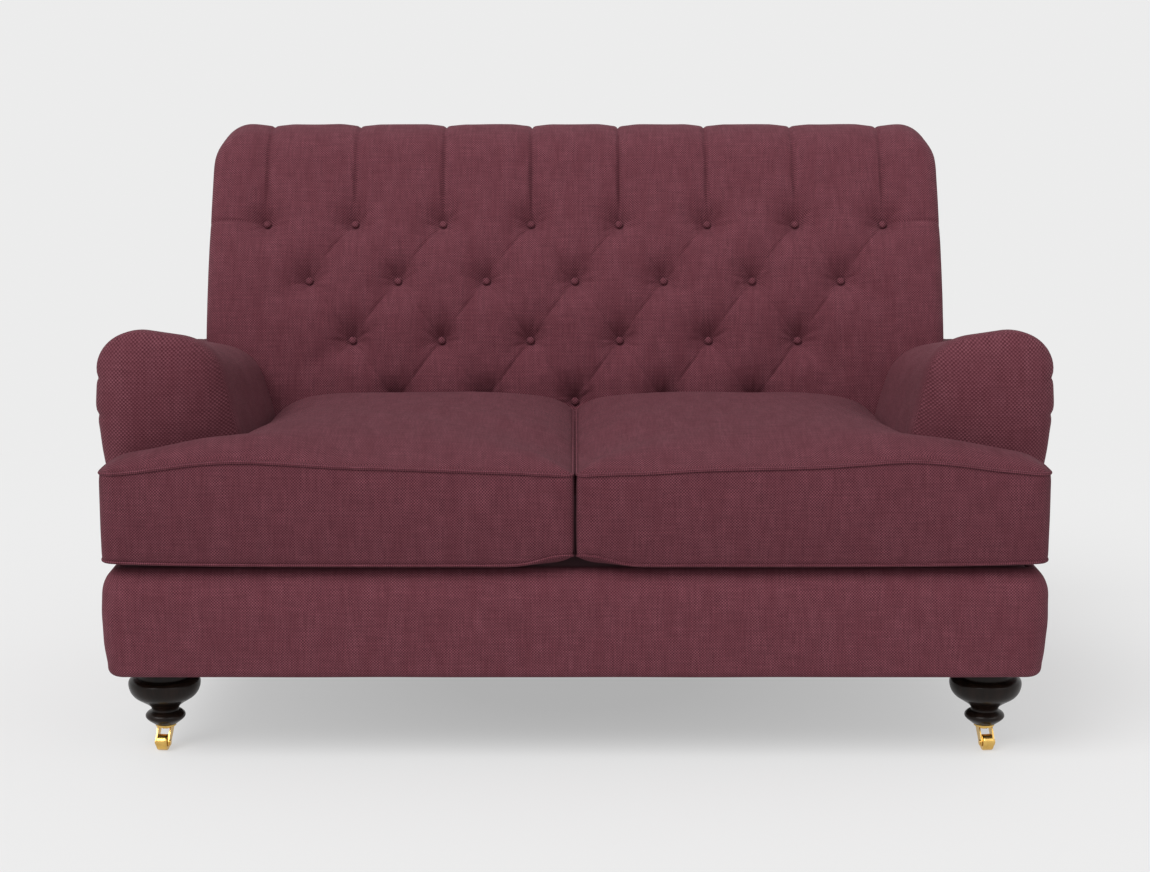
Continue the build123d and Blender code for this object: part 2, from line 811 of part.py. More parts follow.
with BuildPart() as core_space:
    extrude(cushion_outline(cushion_wall - soft_gap), amount=core_height + 2 * soft_gap)
    split(bisect_by=rear_plane.offset(soft_gap - cushion_wall), keep=Keep.BOTTOM)

with BuildPart() as right_seat_cushion:
    extrude(cushion_outline(0), amount=cushion_crown_height + cushion_wall)
    split(bisect_by=rear_plane, keep=Keep.BOTTOM)
    with Locations((crown_x, crown_y, cushion_bottom + cushion_crown_height - crown_radius)):
        Sphere(crown_radius, mode=Mode.INTERSECT)
    fillet(right_seat_cushion.faces().sort_by(Axis.Z)[-1].edges(), cushion_edge_round)
    fillet(right_seat_cushion.faces().sort_by(Axis.Z)[0].edges(), cushion_edge_round)
    add(core_space.part, mode=Mode.SUBTRACT)
keep(right_seat_cushion, "right_seat_cushion")

with BuildPart() as left_seat_cushion:
    mirror(right_seat_cushion.part, about=Plane.YZ)
keep(left_seat_cushion, "left_seat_cushion")

# Turned front legs
leg_section = Plane(origin=(leg_x, leg_y, 0), x_dir=(1, 0, 0), z_dir=(0, -1, 0))
leg_axis = Axis((leg_x, leg_y, 0), (0, 0, 1))
ring_edge = leg_ring_radius - leg_ring_step
cove_radius = (leg_neck_radius + leg_bulge_radius) / 2
cove_height = (leg_neck_height + leg_bulge_height) / 2
with BuildPart() as right_front_leg:
    with BuildSketch(leg_section):
        with BuildLine():
            Line((0, castor_height), (leg_foot_radius, castor_height))
            flare = Line((leg_foot_radius, castor_height), (ring_edge, leg_ring_height - leg_ring_half))
            ring = ThreePointArc(
                flare @ 1,
                (leg_ring_radius, leg_ring_height),
                (ring_edge, leg_ring_height + leg_ring_half),
            )
            Line(ring @ 1, (leg_neck_radius, leg_neck_height))
            cove = TangentArc((leg_neck_radius, leg_neck_height), (cove_radius, cove_height), tangent=(0, 1))
            swell = TangentArc(cove @ 1, (leg_bulge_radius, leg_bulge_height), tangent=cove % 1)
            shoulder = TangentArc(
                swell @ 1, (leg_shoulder_radius, leg_shoulder_height), tangent=swell % 1
            )
            Polyline(
                shoulder @ 1,
                (leg_collar_radius, leg_shoulder_height),
                (leg_collar_radius, rail_bottom),
                (0, rail_bottom),
                (0, castor_height),
            )
        make_face()
    revolve(axis=leg_axis)
    with BuildSketch(Plane.XY.offset(castor_height)):
        with Locations((leg_x, leg_y)):
            Circle(stem_radius + wood_gap)
    extrude(amount=stem_reach + wood_gap, mode=Mode.SUBTRACT)
    with BuildSketch(Plane.XY.offset(rail_bottom - leg_bolt_depth)):
        with Locations((leg_x, leg_y)):
            Circle(leg_bolt_radius + wood_gap)
    extrude(amount=leg_bolt_depth, mode=Mode.SUBTRACT)
keep(right_front_leg, "right_front_leg")

with BuildPart() as left_front_leg:
    mirror(right_front_leg.part, about=Plane.YZ)
keep(left_front_leg, "left_front_leg")

with BuildPart() as front_leg_bolts:
    with BuildSketch(Plane.XY.offset(rail_bottom - leg_bolt_depth)):
        with Locations((leg_x, leg_y)):
            Circle(leg_bolt_radius)
    extrude(amount=leg_bolt_depth + block_height + leg_nut_height)
    mirror(about=Plane.YZ)
keep(front_leg_bolts, "front_leg_bolts")

with BuildPart() as front_leg_nuts:
    with BuildSketch(Plane.XY.offset(block_top)):
        with Locations((leg_x, leg_y)):
            RegularPolygon(leg_nut_width / 2, 6, major_radius=False)
            Circle(leg_bolt_radius + wood_gap, mode=Mode.SUBTRACT)
    extrude(amount=leg_nut_height)
    mirror(about=Plane.YZ)
keep(front_leg_nuts, "front_leg_nuts")

# Raked rear legs
with BuildPart() as right_rear_leg:
    with BuildSketch(Plane.XY):
        with Locations((leg_x, rear_leg_y + rear_leg_rake)):
            Rectangle(rear_leg_foot_width, rear_leg_foot_width)
    with BuildSketch(Plane.XY.offset(rail_bottom)):
        with Locations((leg_x, rear_leg_y)):
            Rectangle(rear_leg_top_width, rear_leg_top_width)
    loft()
    with BuildSketch(Plane.XY.offset(rail_bottom - rear_screw_reach)):
        with Locations((leg_x, rear_leg_y)):
            Circle(rear_screw_radius + wood_gap)
    extrude(amount=rear_screw_reach, mode=Mode.SUBTRACT)
keep(right_rear_leg, "right_rear_leg")

with BuildPart() as left_rear_leg:
    mirror(right_rear_leg.part, about=Plane.YZ)
keep(left_rear_leg, "left_rear_leg")

with BuildPart() as rear_leg_screws:
    with BuildSketch(Plane.XY.offset(rail_bottom - rear_screw_reach)):
        with Locations((leg_x, rear_leg_y)):
            Circle(rear_screw_radius)
    extrude(amount=2 * rear_screw_reach)
    mirror(about=Plane.YZ)
keep(rear_leg_screws, "rear_leg_screws")

# Castors: the stem is fixed in the leg, the fork turns on the stem's pivot, the wheel on the axle
turn = radians(castor_turn)
castor_plane = Plane(origin=(leg_x, leg_y, 0), x_dir=(cos(turn), sin(turn), 0), z_dir=(0, 0, 1))
castor_side = Plane(
    origin=(leg_x, leg_y, 0), x_dir=(-sin(turn), cos(turn), 0), z_dir=(cos(turn), sin(turn), 0)
)
plate_bottom = castor_height - plate_thickness
crown_top = plate_bottom - running_gap
crown_bottom = crown_top - crown_thickness
head_top = crown_bottom - running_gap
fork_inner = wheel_width / 2 + fork_gap
fork_outer = fork_inner + fork_plate_thickness
with BuildPart() as right_castor_stem:
    for low, high, radius in (
        (castor_height, castor_height + stem_reach, stem_radius),
        (plate_bottom, castor_height, plate_radius),
        (head_top, plate_bottom, pivot_radius),
        (head_top - pivot_head_height, head_top, pivot_head_radius),
    ):
        with BuildSketch(castor_plane.offset(low)):
            Circle(radius)
        extrude(amount=high - low)
keep(right_castor_stem, "right_castor_stem")

with BuildPart() as right_castor_fork:
    with BuildSketch(castor_plane.offset(crown_bottom)):
        Rectangle(2 * fork_outer, 2 * fork_crown_radius)
        Circle(pivot_radius + running_gap, mode=Mode.SUBTRACT)
    extrude(amount=crown_thickness)
    for side_start in (-fork_outer, fork_inner):
        with BuildSketch(castor_side.offset(side_start)):
            with Locations((-castor_trail, wheel_radius)):
                Circle(fork_plate_radius)
            with Locations((0, (crown_bottom + crown_top) / 2)):
                Rectangle(2 * fork_crown_radius, crown_thickness)
            make_hull()
            with Locations((-castor_trail, wheel_radius)):
                Circle(axle_radius + running_gap, mode=Mode.SUBTRACT)
        extrude(amount=fork_plate_thickness)
keep(right_castor_fork, "right_castor_fork")

with BuildPart() as right_castor_axle:
    for start, length, radius in (
        (-fork_outer - axle_head_height, axle_head_height, axle_head_radius),
        (-fork_outer, 2 * fork_outer, axle_radius),
        (fork_outer, axle_head_height, axle_head_radius),
    ):
        with BuildSketch(castor_side.offset(start)):
            with Locations((-castor_trail, wheel_radius)):
                Circle(radius)
        extrude(amount=length)
keep(right_castor_axle, "right_castor_axle")

with BuildPart() as right_castor_wheel:
    with BuildSketch(castor_side.offset(-wheel_width / 2)):
        with Locations((-castor_trail, wheel_radius)):
            Circle(wheel_radius)
    extrude(amount=wheel_width)
    fillet(right_castor_wheel.edges(), wheel_round)
    with BuildSketch(castor_side.offset(-wheel_width / 2)):
        with Locations((-castor_trail, wheel_radius)):
            Circle(axle_radius + running_gap)
    extrude(amount=wheel_width, mode=Mode.SUBTRACT)
keep(right_castor_wheel, "right_castor_wheel")

castor_pieces = {
    "stem": right_castor_stem,
    "fork": right_castor_fork,
    "axle": right_castor_axle,
    "wheel": right_castor_wheel,
}
for piece_name, piece in castor_pieces.items():
    with BuildPart() as left_piece:
        mirror(piece.part, about=Plane.YZ)
    keep(left_piece, f"left_castor_{piece_name}")
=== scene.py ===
"""Two-seater sofa: its soft pieces, finishes, light and camera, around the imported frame. Metres."""

import math

import bpy
import numpy as np
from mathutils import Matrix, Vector


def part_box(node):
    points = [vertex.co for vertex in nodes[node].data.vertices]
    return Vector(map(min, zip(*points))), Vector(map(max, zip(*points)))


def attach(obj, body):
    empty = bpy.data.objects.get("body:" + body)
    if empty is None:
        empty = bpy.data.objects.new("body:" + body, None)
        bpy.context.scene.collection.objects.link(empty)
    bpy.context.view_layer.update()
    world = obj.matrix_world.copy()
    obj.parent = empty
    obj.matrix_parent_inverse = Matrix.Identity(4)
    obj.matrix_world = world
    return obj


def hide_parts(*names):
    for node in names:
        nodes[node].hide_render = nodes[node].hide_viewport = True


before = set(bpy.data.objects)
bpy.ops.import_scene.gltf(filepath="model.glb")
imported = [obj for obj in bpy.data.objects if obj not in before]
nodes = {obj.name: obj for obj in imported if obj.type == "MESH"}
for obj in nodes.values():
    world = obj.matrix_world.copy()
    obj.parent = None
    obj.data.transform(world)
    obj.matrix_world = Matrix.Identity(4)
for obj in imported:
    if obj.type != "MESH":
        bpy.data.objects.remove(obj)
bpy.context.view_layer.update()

# Sizes shared with the solids
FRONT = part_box("front_border")[0].y
BASE_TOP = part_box("front_border")[1].z
BASE_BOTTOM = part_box("front_border")[0].z
BASE_DEPTH = 0.800
BORDER_PAD = 0.034
FRAME_HALF = 0.686
RAIL_FRONT = FRONT + BORDER_PAD
RAIL_REAR = FRONT + BASE_DEPTH - BORDER_PAD
ARM_SETBACK = 0.104
ARM_FRONT = FRONT + ARM_SETBACK
ARM_INNER = 0.521
SEAT_DEPTH = 0.570
BACK_HALF = 0.651
LUMBAR_LEAN = math.radians(8.5)
LUMBAR_RUN = 0.166
BOW_RADIUS = 0.900
ROW_PITCH = 0.110
ROLL_RADIUS = 0.105
HEIGHT = 0.937
OUTSIDE_LEAN = math.radians(10)
PANEL = 0.008
BUTTON_COUNTS = (8, 7, 6, 5)
BUTTON_PITCH = 0.157
BUTTON_DEPTH = 0.024
LEG_X = 0.640
LEG_Y = FRONT + 0.090

# Gaps under the covers that stand on the base, and lengths shorter and longer than any on the sofa
FOOT_LIFT = 0.0005
REST_LIFT = 0.0006
TINY = 1e-9
FAR = 9.0


def ripple(x, y, z, size, seed):
    """Smooth unevenness of cloth, between about -1 and 1, with waves about size long."""
    k = 2 * math.pi / size
    total = np.sin(k * (x + 0.37 * y) + seed) * np.cos(k * (0.81 * z - 0.2 * x) + 2.1 * seed)
    total += 0.6 * np.sin(1.7 * k * (y - 0.45 * x + 0.3 * z) + 3.3 * seed)
    total += 0.4 * np.cos(2.3 * k * (z + 0.31 * x - 0.5 * y) + 4.7 * seed)
    return total / 2


def smooth_step(t):
    t = np.clip(t, 0, 1)
    return t * t * (3 - 2 * t)


# Mesh helpers
def new_object(name, points, faces, corner_uv=None):
    """Mesh object with smooth faces, and a map in metres that the weave follows."""
    mesh = bpy.data.meshes.new(name)
    mesh.from_pydata([tuple(p) for p in points], [], [tuple(f) for f in faces])
    mesh.shade_smooth()
    if corner_uv is not None:
        layer = mesh.uv_layers.new(name="weave")
        layer.uv.foreach_set("vector", np.asarray(corner_uv, np.float32).ravel())
    obj = bpy.data.objects.new(name, mesh)
    bpy.context.scene.collection.objects.link(obj)
    return obj


def read_array(items, key, width=1, kind=np.int32):
    flat = np.zeros(len(items) * width, kind)
    items.foreach_get(key, flat)
    return flat.reshape(-1, width) if width > 1 else flat


def read_points(mesh):
    return read_array(mesh.vertices, "co", 3, np.float32).astype(float)


def write_points(mesh, points):
    mesh.vertices.foreach_set("co", np.asarray(points, np.float32).ravel())
    mesh.update()


def add_remesh(obj, voxel):
    remesh = obj.modifiers.new("remesh", "REMESH")
    remesh.mode = "VOXEL"
    remesh.voxel_size = voxel
    remesh.use_smooth_shade = True


def evaluated_mesh(obj):
    return bpy.data.meshes.new_from_object(obj.evaluated_get(bpy.context.evaluated_depsgraph_get()))


def apply_modifiers(obj):
    """Swap an object's mesh for the one that its modifiers make."""
    shaped = evaluated_mesh(obj)
    obj.modifiers.clear()
    old = obj.data
    obj.data = shaped
    bpy.data.meshes.remove(old)
    return shaped


def stacked(*parts):
    """Arrays brought to one shape and stacked as coordinates."""
    return np.stack(np.broadcast_arrays(*parts), -1)


def running_length(line, ring=False):
    """Length of a line up to each of its points; a ring comes back to its first point."""
    if ring:
        line = np.concatenate([line, line[:1]])
    return np.concatenate([[0], np.cumsum(np.linalg.norm(np.diff(line, axis=0), axis=1))])


def lattice(points, uv, closed=True, cap_axes=(1, 2)):
    """Points, faces and corner map of rows of points; closed joins each row's end to its start."""
    rows, columns = points.shape[:2]
    last = columns if closed else columns - 1
    r, c = np.meshgrid(np.arange(rows - 1), np.arange(last), indexing="ij")
    n = (c + 1) % columns
    here, following = r * columns, (r + 1) * columns
    quads = np.stack([here + c, here + n, following + n, following + c], -1)
    corners = np.stack([uv[r, c], uv[r, c + 1], uv[r + 1, c + 1], uv[r + 1, c]], 2)
    faces = [list(q) for q in quads.reshape(-1, 4)]
    corner_uv = [corners.reshape(-1, 2)]
    if closed and cap_axes:
        for row, order in ((0, -1), (rows - 1, 1)):
            ring = np.arange(columns)[::order]
            faces.append([row * columns + k for k in ring])
            corner_uv.append(points[row, ring][:, list(cap_axes)])
    return points.reshape(-1, 3), faces, np.concatenate(corner_uv)


def ring_lattice(points, uv):
    """Lattice whose last row joins its first too; uv has a row and a column more than points."""
    wrapped, faces, corner_uv = lattice(np.concatenate([points, points[:1]]), uv, cap_axes=None)
    count = points.shape[0] * points.shape[1]
    return wrapped[:count], [[k % count for k in face] for face in faces], corner_uv


def flipped(faces, corner_uv):
    """Faces turned over, with their corners' map."""
    starts = np.cumsum([0] + [len(face) for face in faces])
    turned = [corner_uv[a:b][::-1] for a, b in zip(starts[:-1], starts[1:])]
    return [face[::-1] for face in faces], np.concatenate(turned)


def box_map(mesh):
    """Map each face by the axis it faces most."""
    layer = mesh.uv_layers.new(name="weave")
    corner = read_array(mesh.loops, "vertex_index")
    normals = read_array(mesh.polygons, "normal", 3, np.float32)
    facing = np.repeat(np.abs(normals).argmax(1), read_array(mesh.polygons, "loop_total"))
    pair = np.array([[1, 2], [0, 2], [0, 1]])[facing]
    uv = np.take_along_axis(read_points(mesh)[corner], pair, 1)
    layer.uv.foreach_set("vector", uv.astype(np.float32).ravel())


TUBE_SIDES = 10
BIAS = 0.7


def tube(path, radius):
    """Round cord along a closed path of points, covered on the bias."""
    ahead = np.roll(path, -1, 0) - np.roll(path, 1, 0)
    ahead /= np.linalg.norm(ahead, axis=1)[:, None]
    side = np.cross(ahead, (0, 0, 1.0))
    side /= np.linalg.norm(side, axis=1)[:, None]
    up = np.cross(side, ahead)
    turn = np.linspace(0, 2 * math.pi, TUBE_SIDES, endpoint=False)[None, :, None]
    points = path[:, None] + radius * (side[:, None] * np.cos(turn) + up[:, None] * np.sin(turn))
    along = BIAS * running_length(points[:, 0], ring=True)[:, None]
    around = BIAS * np.linspace(0, 2 * math.pi * radius, TUBE_SIDES + 1)
    return ring_lattice(points, stacked(along + around, around - along))


def rounded_path(corners, step):
    """Closed path of points, step apart, through corners given as (across, along, radius)."""
    path = []
    places = np.array(corners)[:, :2]
    befores, afters = np.roll(places, 1, 0) - places, np.roll(places, -1, 0) - places
    for (*_, radius), here, before, after in zip(corners, places, befores, afters):
        before /= np.linalg.norm(before)
        after /= np.linalg.norm(after)
        half = math.acos(np.clip(before @ after, -1, 1)) / 2
        reach = radius / math.tan(half)
        start, end = here + before * reach, here + after * reach
        middle = (before + after) / np.linalg.norm(before + after)
        centre = here + middle * radius / math.sin(half)
        first, last = start - centre, end - centre
        sweep = math.pi - 2 * half
        turns = max(2, int(radius * sweep / step) + 1)
        for t in np.linspace(0, 1, turns + 1):
            spoke = first * math.sin((1 - t) * sweep) + last * math.sin(t * sweep)
            path.append(centre + spoke / math.sin(sweep))
    dense = []
    for a, b in zip(path, path[1:] + path[:1]):
        gap = np.linalg.norm(b - a)
        if gap < TINY:
            continue
        parts = max(1, int(round(gap / step)))
        dense += [a + (b - a) * t / parts for t in range(parts)]
    return np.array(dense)


# Materials
def fill_inputs(tree, made, values):
    """Set a node's inputs to plain values, or link them to other nodes' outputs."""
    for key, value in values.items():
        if isinstance(value, bpy.types.NodeSocket):
            tree.links.new(value, made.inputs[key])
        else:
            made.inputs[key].default_value = value


def material_of(look):
    """Make a function that works out a shader's inputs into one that makes the material."""

    def make(name, **values):
        material = bpy.data.materials.new(name)
        material.use_nodes = True
        tree = material.node_tree
        fill_inputs(tree, tree.nodes["Principled BSDF"], look(tree, **values))
        return material

    return make


def node(tree, kind, values, **settings):
    made = tree.nodes.new(kind)
    for key, value in settings.items():
        setattr(made, key, value)
    fill_inputs(tree, made, values)
    return made


def math_node(tree, operation, *values):
    return node(tree, "ShaderNodeMath", dict(enumerate(values)), operation=operation).outputs[0]


def mix_colour(tree, share, a, b):
    a, b = ((*value, 1) if isinstance(value, tuple) else value for value in (a, b))
    return node(tree, "ShaderNodeMix", {0: share, 6: a, 7: b}, data_type="RGBA").outputs[2]


def part_mix(tree, share, part, a, b):
    """Mix of two colours by a part of a share."""
    return mix_colour(tree, math_node(tree, "MULTIPLY", share, part), a, b)


def object_place(tree):
    return node(tree, "ShaderNodeTexCoord", {}).outputs["Object"]


def noise(tree, vector, scale, stretch=(1, 1, 1), detail=2.0):
    mapping = node(tree, "ShaderNodeMapping", {"Vector": vector, "Scale": stretch})
    values = {"Vector": mapping.outputs[0], "Scale": scale, "Detail": detail, "Roughness": 0.55}
    return node(tree, "ShaderNodeTexNoise", values).outputs["Fac"]


def spread(tree, value, low, high):
    """Stretch the range low to high over 0 to 1."""
    values = {"Value": value, "From Min": low, "From Max": high}
    return node(tree, "ShaderNodeMapRange", values).outputs["Result"]


def relief(tree, height, strength, distance):
    values = {"Height": height, "Strength": strength, "Distance": distance}
    return node(tree, "ShaderNodeBump", values).outputs[0]


# How far yarns wander, slubs across one pitch and along a metre, and patches in a metre
WANDER = 0.0022
SLUBS_ACROSS = 0.55
SLUBS_UP, SLUBS_OVER = 28.0, 24.0
PATCHES = (46.0, 13.0, 1.0)


@material_of
def woven(tree, warp, weft, patch, pitch, sheen_tint, sheen, bump, dots=1.0):
    """Plain weave of uneven yarns: light warp over dark weft, with slubs and faded patches."""
    uv = node(tree, "ShaderNodeUVMap", {}, uv_map="weave").outputs[0]
    wobble = node(tree, "ShaderNodeTexNoise", {"Vector": uv, "Scale": 45.0, "Detail": 2.0})
    wander = {0: wobble.outputs["Color"], 1: (WANDER, WANDER, 0), 2: uv}
    shift = node(tree, "ShaderNodeVectorMath", wander, operation="MULTIPLY_ADD")
    split = node(tree, "ShaderNodeSeparateXYZ", {0: shift.outputs[0]})
    turns = [math_node(tree, "MULTIPLY", out, math.pi / pitch) for out in split.outputs[:2]]
    over = math_node(tree, "MULTIPLY", *(math_node(tree, "SINE", turn) for turn in turns))
    strength = spread(tree, noise(tree, uv, scale=60.0, detail=5.0), low=0.30, high=0.70)
    strength = math_node(tree, "MULTIPLY_ADD", strength, 0.8, 0.5)
    lift = math_node(tree, "MULTIPLY_ADD", math_node(tree, "MULTIPLY", over, strength), 0.5, 0.5)
    lift = math_node(tree, "POWER", math_node(tree, "MAXIMUM", lift, 0.0), dots)
    slubs = SLUBS_ACROSS / pitch
    slub_up, slub_over = (
        spread(tree, noise(tree, uv, scale=1.0, stretch=stretch), low=0.3, high=0.7)
        for stretch in ((slubs, SLUBS_UP, 1.0), (SLUBS_OVER, slubs, 1.0))
    )
    cloud = noise(tree, uv, scale=1.0, stretch=PATCHES, detail=4.0)
    cloud = spread(tree, cloud, low=0.35, high=0.65)
    yarn = mix_colour(tree, lift, weft, warp)
    yarn = part_mix(tree, slub_up, 0.20, yarn, warp)
    yarn = part_mix(tree, slub_over, 0.26, yarn, weft)
    yarn = part_mix(tree, cloud, 0.38, yarn, patch)
    crossing = math_node(tree, "ABSOLUTE", over)
    height = math_node(tree, "MULTIPLY_ADD", slub_up, 0.4, crossing)
    return {
        "Base Color": yarn,
        "Roughness": math_node(tree, "MULTIPLY_ADD", lift, -0.12, 0.92),
        "Normal": relief(tree, height, strength=bump, distance=0.0006),
        "Specular IOR Level": 0.18,
        "Sheen Weight": sheen,
        "Sheen Roughness": 0.45,
        "Sheen Tint": (*sheen_tint, 1),
    }


@material_of
def polished_wood(tree, dark, light, coat, rough):
    """Stained wood with fine upright grain under varnish."""
    place = object_place(tree)
    grain = noise(tree, place, scale=9.0, stretch=(9.0, 9.0, 0.7), detail=6.0)
    streak = spread(tree, grain, low=0.3, high=0.72)
    pores = noise(tree, place, scale=60.0, stretch=(6.0, 6.0, 0.4), detail=3.0)
    pores = spread(tree, pores, low=0.42, high=0.75)
    return {
        "Base Color": part_mix(tree, pores, 0.35, mix_colour(tree, streak, dark, light), dark),
        "Roughness": math_node(tree, "MULTIPLY_ADD", streak, 0.1, rough),
        "Normal": relief(tree, pores, strength=0.06, distance=0.0004),
        "Specular IOR Level": 0.12,
        "Coat Weight": coat,
        "Coat Roughness": 0.10,
    }


@material_of
def metal(tree, colour, tarnish, rough):
    """Turned metal with faint tool lines and a little tarnish."""
    place = object_place(tree)
    lines = noise(tree, place, scale=900.0, stretch=(1.0, 1.0, 0.12))
    spots = spread(tree, noise(tree, place, scale=90.0, detail=4.0), low=0.45, high=0.75)
    return {
        "Base Color": part_mix(tree, spots, 0.55, colour, tarnish),
        "Roughness": math_node(tree, "MULTIPLY_ADD", lines, 0.14, rough),
        "Metallic": 1.0,
    }


@material_of
def porous(tree, colour, shade):
    """Open-cell foam."""
    cells = node(tree, "ShaderNodeTexVoronoi", {"Vector": object_place(tree), "Scale": 420.0})
    tone = spread(tree, cells.outputs["Distance"], low=0.1, high=0.6)
    return {
        "Base Color": mix_colour(tree, tone, shade, colour),
        "Roughness": 0.95,
        "Normal": relief(tree, tone, strength=0.4, distance=0.0008),
    }


@material_of
def strap(tree, light, dark):
    """Jute webbing: coarse crossed yarns."""
    split = node(tree, "ShaderNodeSeparateXYZ", {0: object_place(tree)})
    turns = [math_node(tree, "MULTIPLY", out, 1400.0) for out in split.outputs]
    waves = [math_node(tree, "SINE", turn) for turn in turns]
    tone = math_node(tree, "MULTIPLY", waves[0], math_node(tree, "ADD", waves[1], waves[2]))
    tone = spread(tree, tone, low=-1.2, high=1.2)
    return {
        "Base Color": mix_colour(tree, tone, dark, light),
        "Roughness": 0.9,
        "Normal": relief(tree, tone, strength=0.5, distance=0.0008),
    }


PLUM = dict(pitch=0.0022, sheen_tint=(0.70, 0.58, 0.62), sheen=0.03)
plum = woven(
    "plum_weave",
    warp=(0.318, 0.100, 0.132),
    weft=(0.025, 0.0024, 0.005),
    patch=(0.090, 0.018, 0.027),
    bump=0.6,
    dots=1.7,
    **PLUM,
)
# Copy of the plum cloth about 0.87 times as dark, for the cushions: painted shade that stands in for
# the shade on them
plum_seat_painted_shade = woven(
    "plum_weave_seat",
    warp=(0.272, 0.084, 0.112),
    weft=(0.022, 0.0021, 0.0043),
    patch=(0.078, 0.0155, 0.0235),
    bump=0.6,
    dots=1.7,
    **PLUM,
)
plum_arm = woven(
    "plum_weave_arm",
    warp=(0.240, 0.077, 0.101),
    weft=(0.046, 0.0076, 0.012),
    patch=(0.090, 0.018, 0.027),
    bump=0.45,
    dots=1.5,
    **PLUM,
)
lining = woven(
    "lining_weave",
    warp=(0.150, 0.068, 0.080),
    weft=(0.075, 0.024, 0.033),
    patch=(0.110, 0.040, 0.050),
    pitch=0.0008,
    sheen_tint=(0.7, 0.6, 0.62),
    sheen=0.1,
    bump=0.2,
)
dust_cloth = woven(
    "dust_cloth_weave",
    warp=(0.035, 0.034, 0.036),
    weft=(0.016, 0.016, 0.018),
    patch=(0.026, 0.025, 0.027),
    pitch=0.0007,
    sheen_tint=(0.5, 0.5, 0.5),
    sheen=0.05,
    bump=0.2,
)
espresso = polished_wood(
    "espresso_wood",
    dark=(0.005, 0.003, 0.0022),
    light=(0.016, 0.008, 0.0055),
    coat=0.16,
    rough=0.30,
)
beech = polished_wood(
    "beech", dark=(0.34, 0.20, 0.10), light=(0.52, 0.34, 0.19), coat=0.0, rough=0.6
)
brass = metal("brass", colour=(0.76, 0.49, 0.14), tarnish=(0.52, 0.30, 0.08), rough=0.18)
steel = metal("zinc_steel", colour=(0.62, 0.62, 0.60), tarnish=(0.40, 0.39, 0.36), rough=0.35)
foam = porous("foam", colour=(0.80, 0.74, 0.55), shade=(0.55, 0.48, 0.32))
webbing = strap("jute_webbing", light=(0.42, 0.33, 0.21), dark=(0.24, 0.17, 0.10))


def dress(obj, look):
    obj.data.materials.clear()
    obj.data.materials.append(look)


# Words in the names of the hard pieces; fixings come last, as some are named after legs
for look, words in (
    (espresso, ("front_leg", "rear_leg")),
    (beech, ("rail", "post", "corner_blocks")),
    (brass, ("castor",)),
    (foam, ("cushion_core",)),
    (webbing, ("webbing",)),
    (steel, ("bolts", "nuts", "screws")),
):
    for name, obj in nodes.items():
        if any(word in name for word in words):
            dress(obj, look)


def finish_piece(obj, look, replaced, body="frame"):
    """Dress a piece, tie it to its body and hide the solids that it replaces."""
    dress(obj, look)
    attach(obj, body)
    if replaced:
        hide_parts(*replaced)


# Buttoned back: sections along X, closed round the front, the roll, the outside and the foot
BOW_RUN = (len(BUTTON_COUNTS) - 1) * ROW_PITCH
TOP_LEAN = LUMBAR_LEAN + BOW_RUN / BOW_RADIUS
TOP_RUN = LUMBAR_RUN + BOW_RUN


def inside_back(run):
    """Y, Z and lean of the inside back, run metres up from the deck."""
    straight = np.minimum(run, LUMBAR_RUN)
    lean = LUMBAR_LEAN + np.maximum(run - LUMBAR_RUN, 0) / BOW_RADIUS
    y = FRONT + SEAT_DEPTH + straight * math.sin(LUMBAR_LEAN)
    z = BASE_TOP + straight * math.cos(LUMBAR_LEAN)
    y = y + BOW_RADIUS * (math.cos(LUMBAR_LEAN) - np.cos(lean))
    z = z + BOW_RADIUS * (np.sin(lean) - math.sin(LUMBAR_LEAN))
    return y, z, lean


def outside_back(z, inset):
    """Y of the outside back at a height, inset metres in from its face."""
    face_y = FRONT + BASE_DEPTH + (z - BASE_TOP) * math.tan(OUTSIDE_LEAN)
    return face_y - inset / math.cos(OUTSIDE_LEAN)


top_y, top_z, _ = inside_back(TOP_RUN)
roll_z = HEIGHT - ROLL_RADIUS
RISE = (roll_z + ROLL_RADIUS * math.sin(TOP_LEAN) - top_z) / math.cos(TOP_LEAN)
roll_y = top_y + RISE * math.sin(TOP_LEAN) + ROLL_RADIUS * math.cos(TOP_LEAN)
ROLL_START = TOP_RUN + RISE


def roll_point(run):
    """Y, Z and outward direction on the roll, run metres up from the deck."""
    angle = math.pi - TOP_LEAN - (run - ROLL_START) / ROLL_RADIUS
    out_y, out_z = np.cos(angle), np.sin(angle)
    return roll_y + ROLL_RADIUS * out_y, roll_z + ROLL_RADIUS * out_z, out_y, out_z


# The roll ends where it meets the outside panel
tries = np.linspace(ROLL_START + 0.15, ROLL_START + 0.45, 3001)
try_y, try_z, _, _ = roll_point(tries)
ROLL_END = tries[np.nonzero(try_y > outside_back(try_z, PANEL))[0][-1]]
row_runs = [TOP_RUN - row * ROW_PITCH for row in range(len(BUTTON_COUNTS))]
row_places = [
    [(k - (count - 1) / 2) * BUTTON_PITCH for k in range(count)] for count in BUTTON_COUNTS
]
buttons = [(x, run) for run, places in zip(row_runs, row_places) for x in places]

